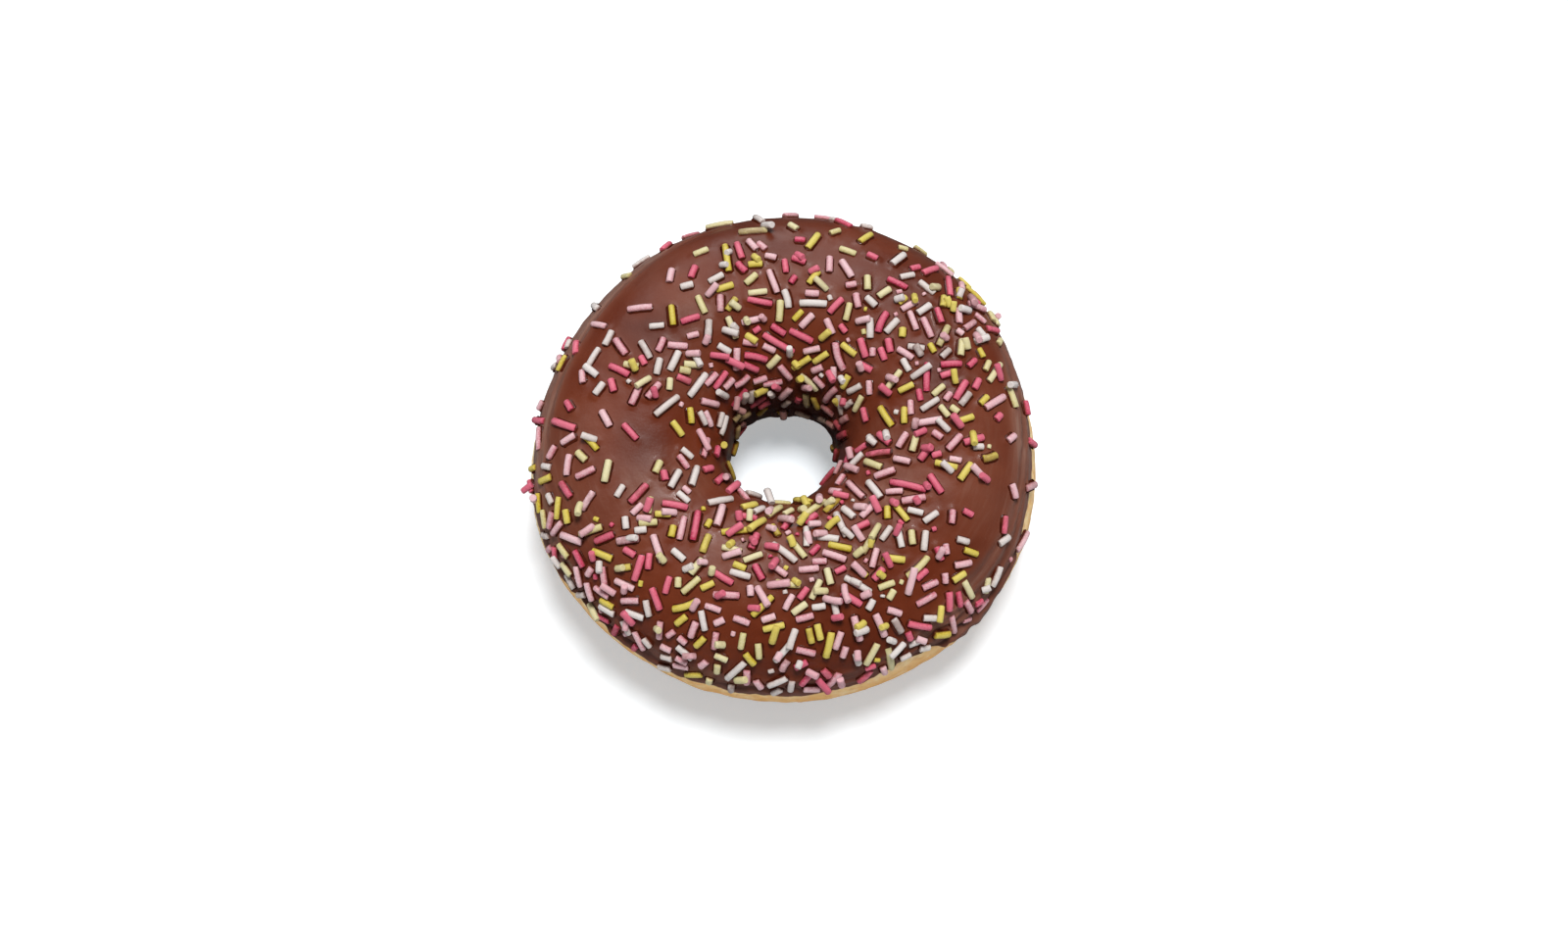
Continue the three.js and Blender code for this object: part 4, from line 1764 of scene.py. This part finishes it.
@dataclass(frozen=True)
class Lamp:
    """A soft far light: where it stands as degrees from overhead to the back and to the right, and its width."""

    name: str
    back: float
    right: float
    width: float
    strength: float
    glossy: bool = True
    diffuse: bool = True

    def hang(self) -> None:
        """Adds the light to the scene."""
        light = bpy.data.lights.new(self.name, "SUN")
        light.energy = self.strength
        light.angle = math.radians(self.width)
        lamp = new_piece(self.name, light)
        towards = Vector((math.tan(math.radians(self.right)), math.tan(math.radians(self.back)), 1.0))
        lamp.rotation_euler = towards.to_track_quat("Z", "Y").to_euler()
        lamp.visible_glossy = self.glossy
        lamp.visible_diffuse = self.diffuse


@dataclass(frozen=True)
class Studio:
    """The floor, the light and the camera, in metres and degrees."""

    floor_size: float = 40.0
    floor_colour: Colour = (0.74, 0.76, 0.78)
    floor_roughness: float = 0.9
    floor_specular: float = 0.1
    floor_glow: float = 0.40
    floor_glow_colour: Colour = (0.86, 0.95, 1.0)
    elevation: float = 70.0
    distance: float = 0.656
    target: tuple[float, float, float] = (0.0, 0.0, 0.015)
    lens: float = 85.0
    sensor: float = 36.0
    shift: tuple[float, float] = (-0.0008, -0.0064)
    clip: tuple[float, float] = (0.01, 60.0)
    fill: float = 0.255
    lamps: Sequence[Lamp] = (
        Lamp("overhead", 10.5, 4.0, 21.0, 3.2, glossy=False),
        Lamp("soft_window", 43.0, -9.0, 62.0, 0.95, diffuse=False),
        Lamp("low_window", 75.0, -14.0, 24.0, 0.3, diffuse=False),
        Lamp("glint", 33.0, 14.0, 5.0, 0.35, diffuse=False),
    )

    def build(self) -> None:
        """Makes all three."""
        self.lay_floor()
        self.light()
        self.stand_camera()

    def lay_floor(self) -> None:
        """Lays a plain pale floor."""
        half = self.floor_size / 2
        corners = [(-half, -half, 0), (half, -half, 0), (half, half, 0), (-half, half, 0)]
        mesh = bpy.data.meshes.new("floor")
        mesh.from_pydata(corners, [], [(0, 1, 2, 3)])
        material = bpy.data.materials.new("floor")
        material.use_nodes = True
        graph = Graph(material.node_tree)
        sockets = {
            "Base Color": self.floor_colour,
            "Roughness": self.floor_roughness,
            "Specular IOR Level": self.floor_specular,
            "Emission Color": self.floor_glow_colour,
            "Emission Strength": self.floor_glow,
        }
        surface = graph.link("ShaderNodeBsdfPrincipled", None, sockets)
        graph.node("ShaderNodeOutputMaterial", None, {"Surface": surface})
        mesh.materials.append(material)
        floor = new_piece("floor", mesh)
        floor.visible_glossy = False

    def light(self) -> None:
        """Hangs the lights in a pale surround that itself shows in no gloss."""
        world = bpy.data.worlds.new("surround")
        bpy.context.scene.world = world
        world.use_nodes = True
        graph = Graph(world.node_tree)
        glow = graph.link("ShaderNodeBackground", None, {"Color": (1.0, 1.0, 1.0), "Strength": self.fill})
        graph.node("ShaderNodeOutputWorld", None, {"Surface": glow})
        world.cycles_visibility.glossy = False
        for lamp in self.lamps:
            lamp.hang()

    def stand_camera(self) -> None:
        """Stands the camera in front, looking down at the ring."""
        camera = bpy.data.cameras.new("camera")
        camera.lens = self.lens
        camera.sensor_width = self.sensor
        camera.shift_x, camera.shift_y = self.shift
        camera.clip_start, camera.clip_end = self.clip
        stand = new_piece("camera", camera)
        angle = math.radians(self.elevation)
        back = Vector((0.0, -math.cos(angle), math.sin(angle)))
        stand.location = Vector(self.target) + back * self.distance
        stand.rotation_euler = back.to_track_quat("Z", "Y").to_euler()
        scene = bpy.context.scene
        scene.camera = stand
        scene.view_settings.view_transform = "Standard"


def main() -> None:
    """Builds the studio and the doughnut, piece by piece."""
    Studio().build()
    shape = RingShape()
    dough = Dough(shape, DoughFinish("fried_dough", specular=0.4, scatter=0.15, scatter_reach=(2.0, 1.0, 0.5)))
    finished(dough.build(), "dough", "dough_ring")

    icing = Icing(shape, dough, IcingFinish("milk_chocolate", coat_roughness=0.15, sheen=0.05))
    strands = StrandDresser(Scatter(shape), icing).laid()
    finished(icing.build(strands), "icing", "chocolate_icing")

    tree = StrandTree()
    for sugar in Sugar:
        name = "strand_" + sugar.name.lower()
        chosen = [strand for strand in strands if strand.sugar is sugar]
        finished(tree.strands(name, chosen, sugar.finish), name, "chocolate_icing")
    collars = tree.collars("chocolate_collars", strands, ShadedCollarFinish("wet_chocolate"))
    finished(collars, "icing", "chocolate_icing")


if __name__ == "__main__":
    logging.basicConfig(level=logging.INFO, format="%(name)s: %(message)s")
    main()
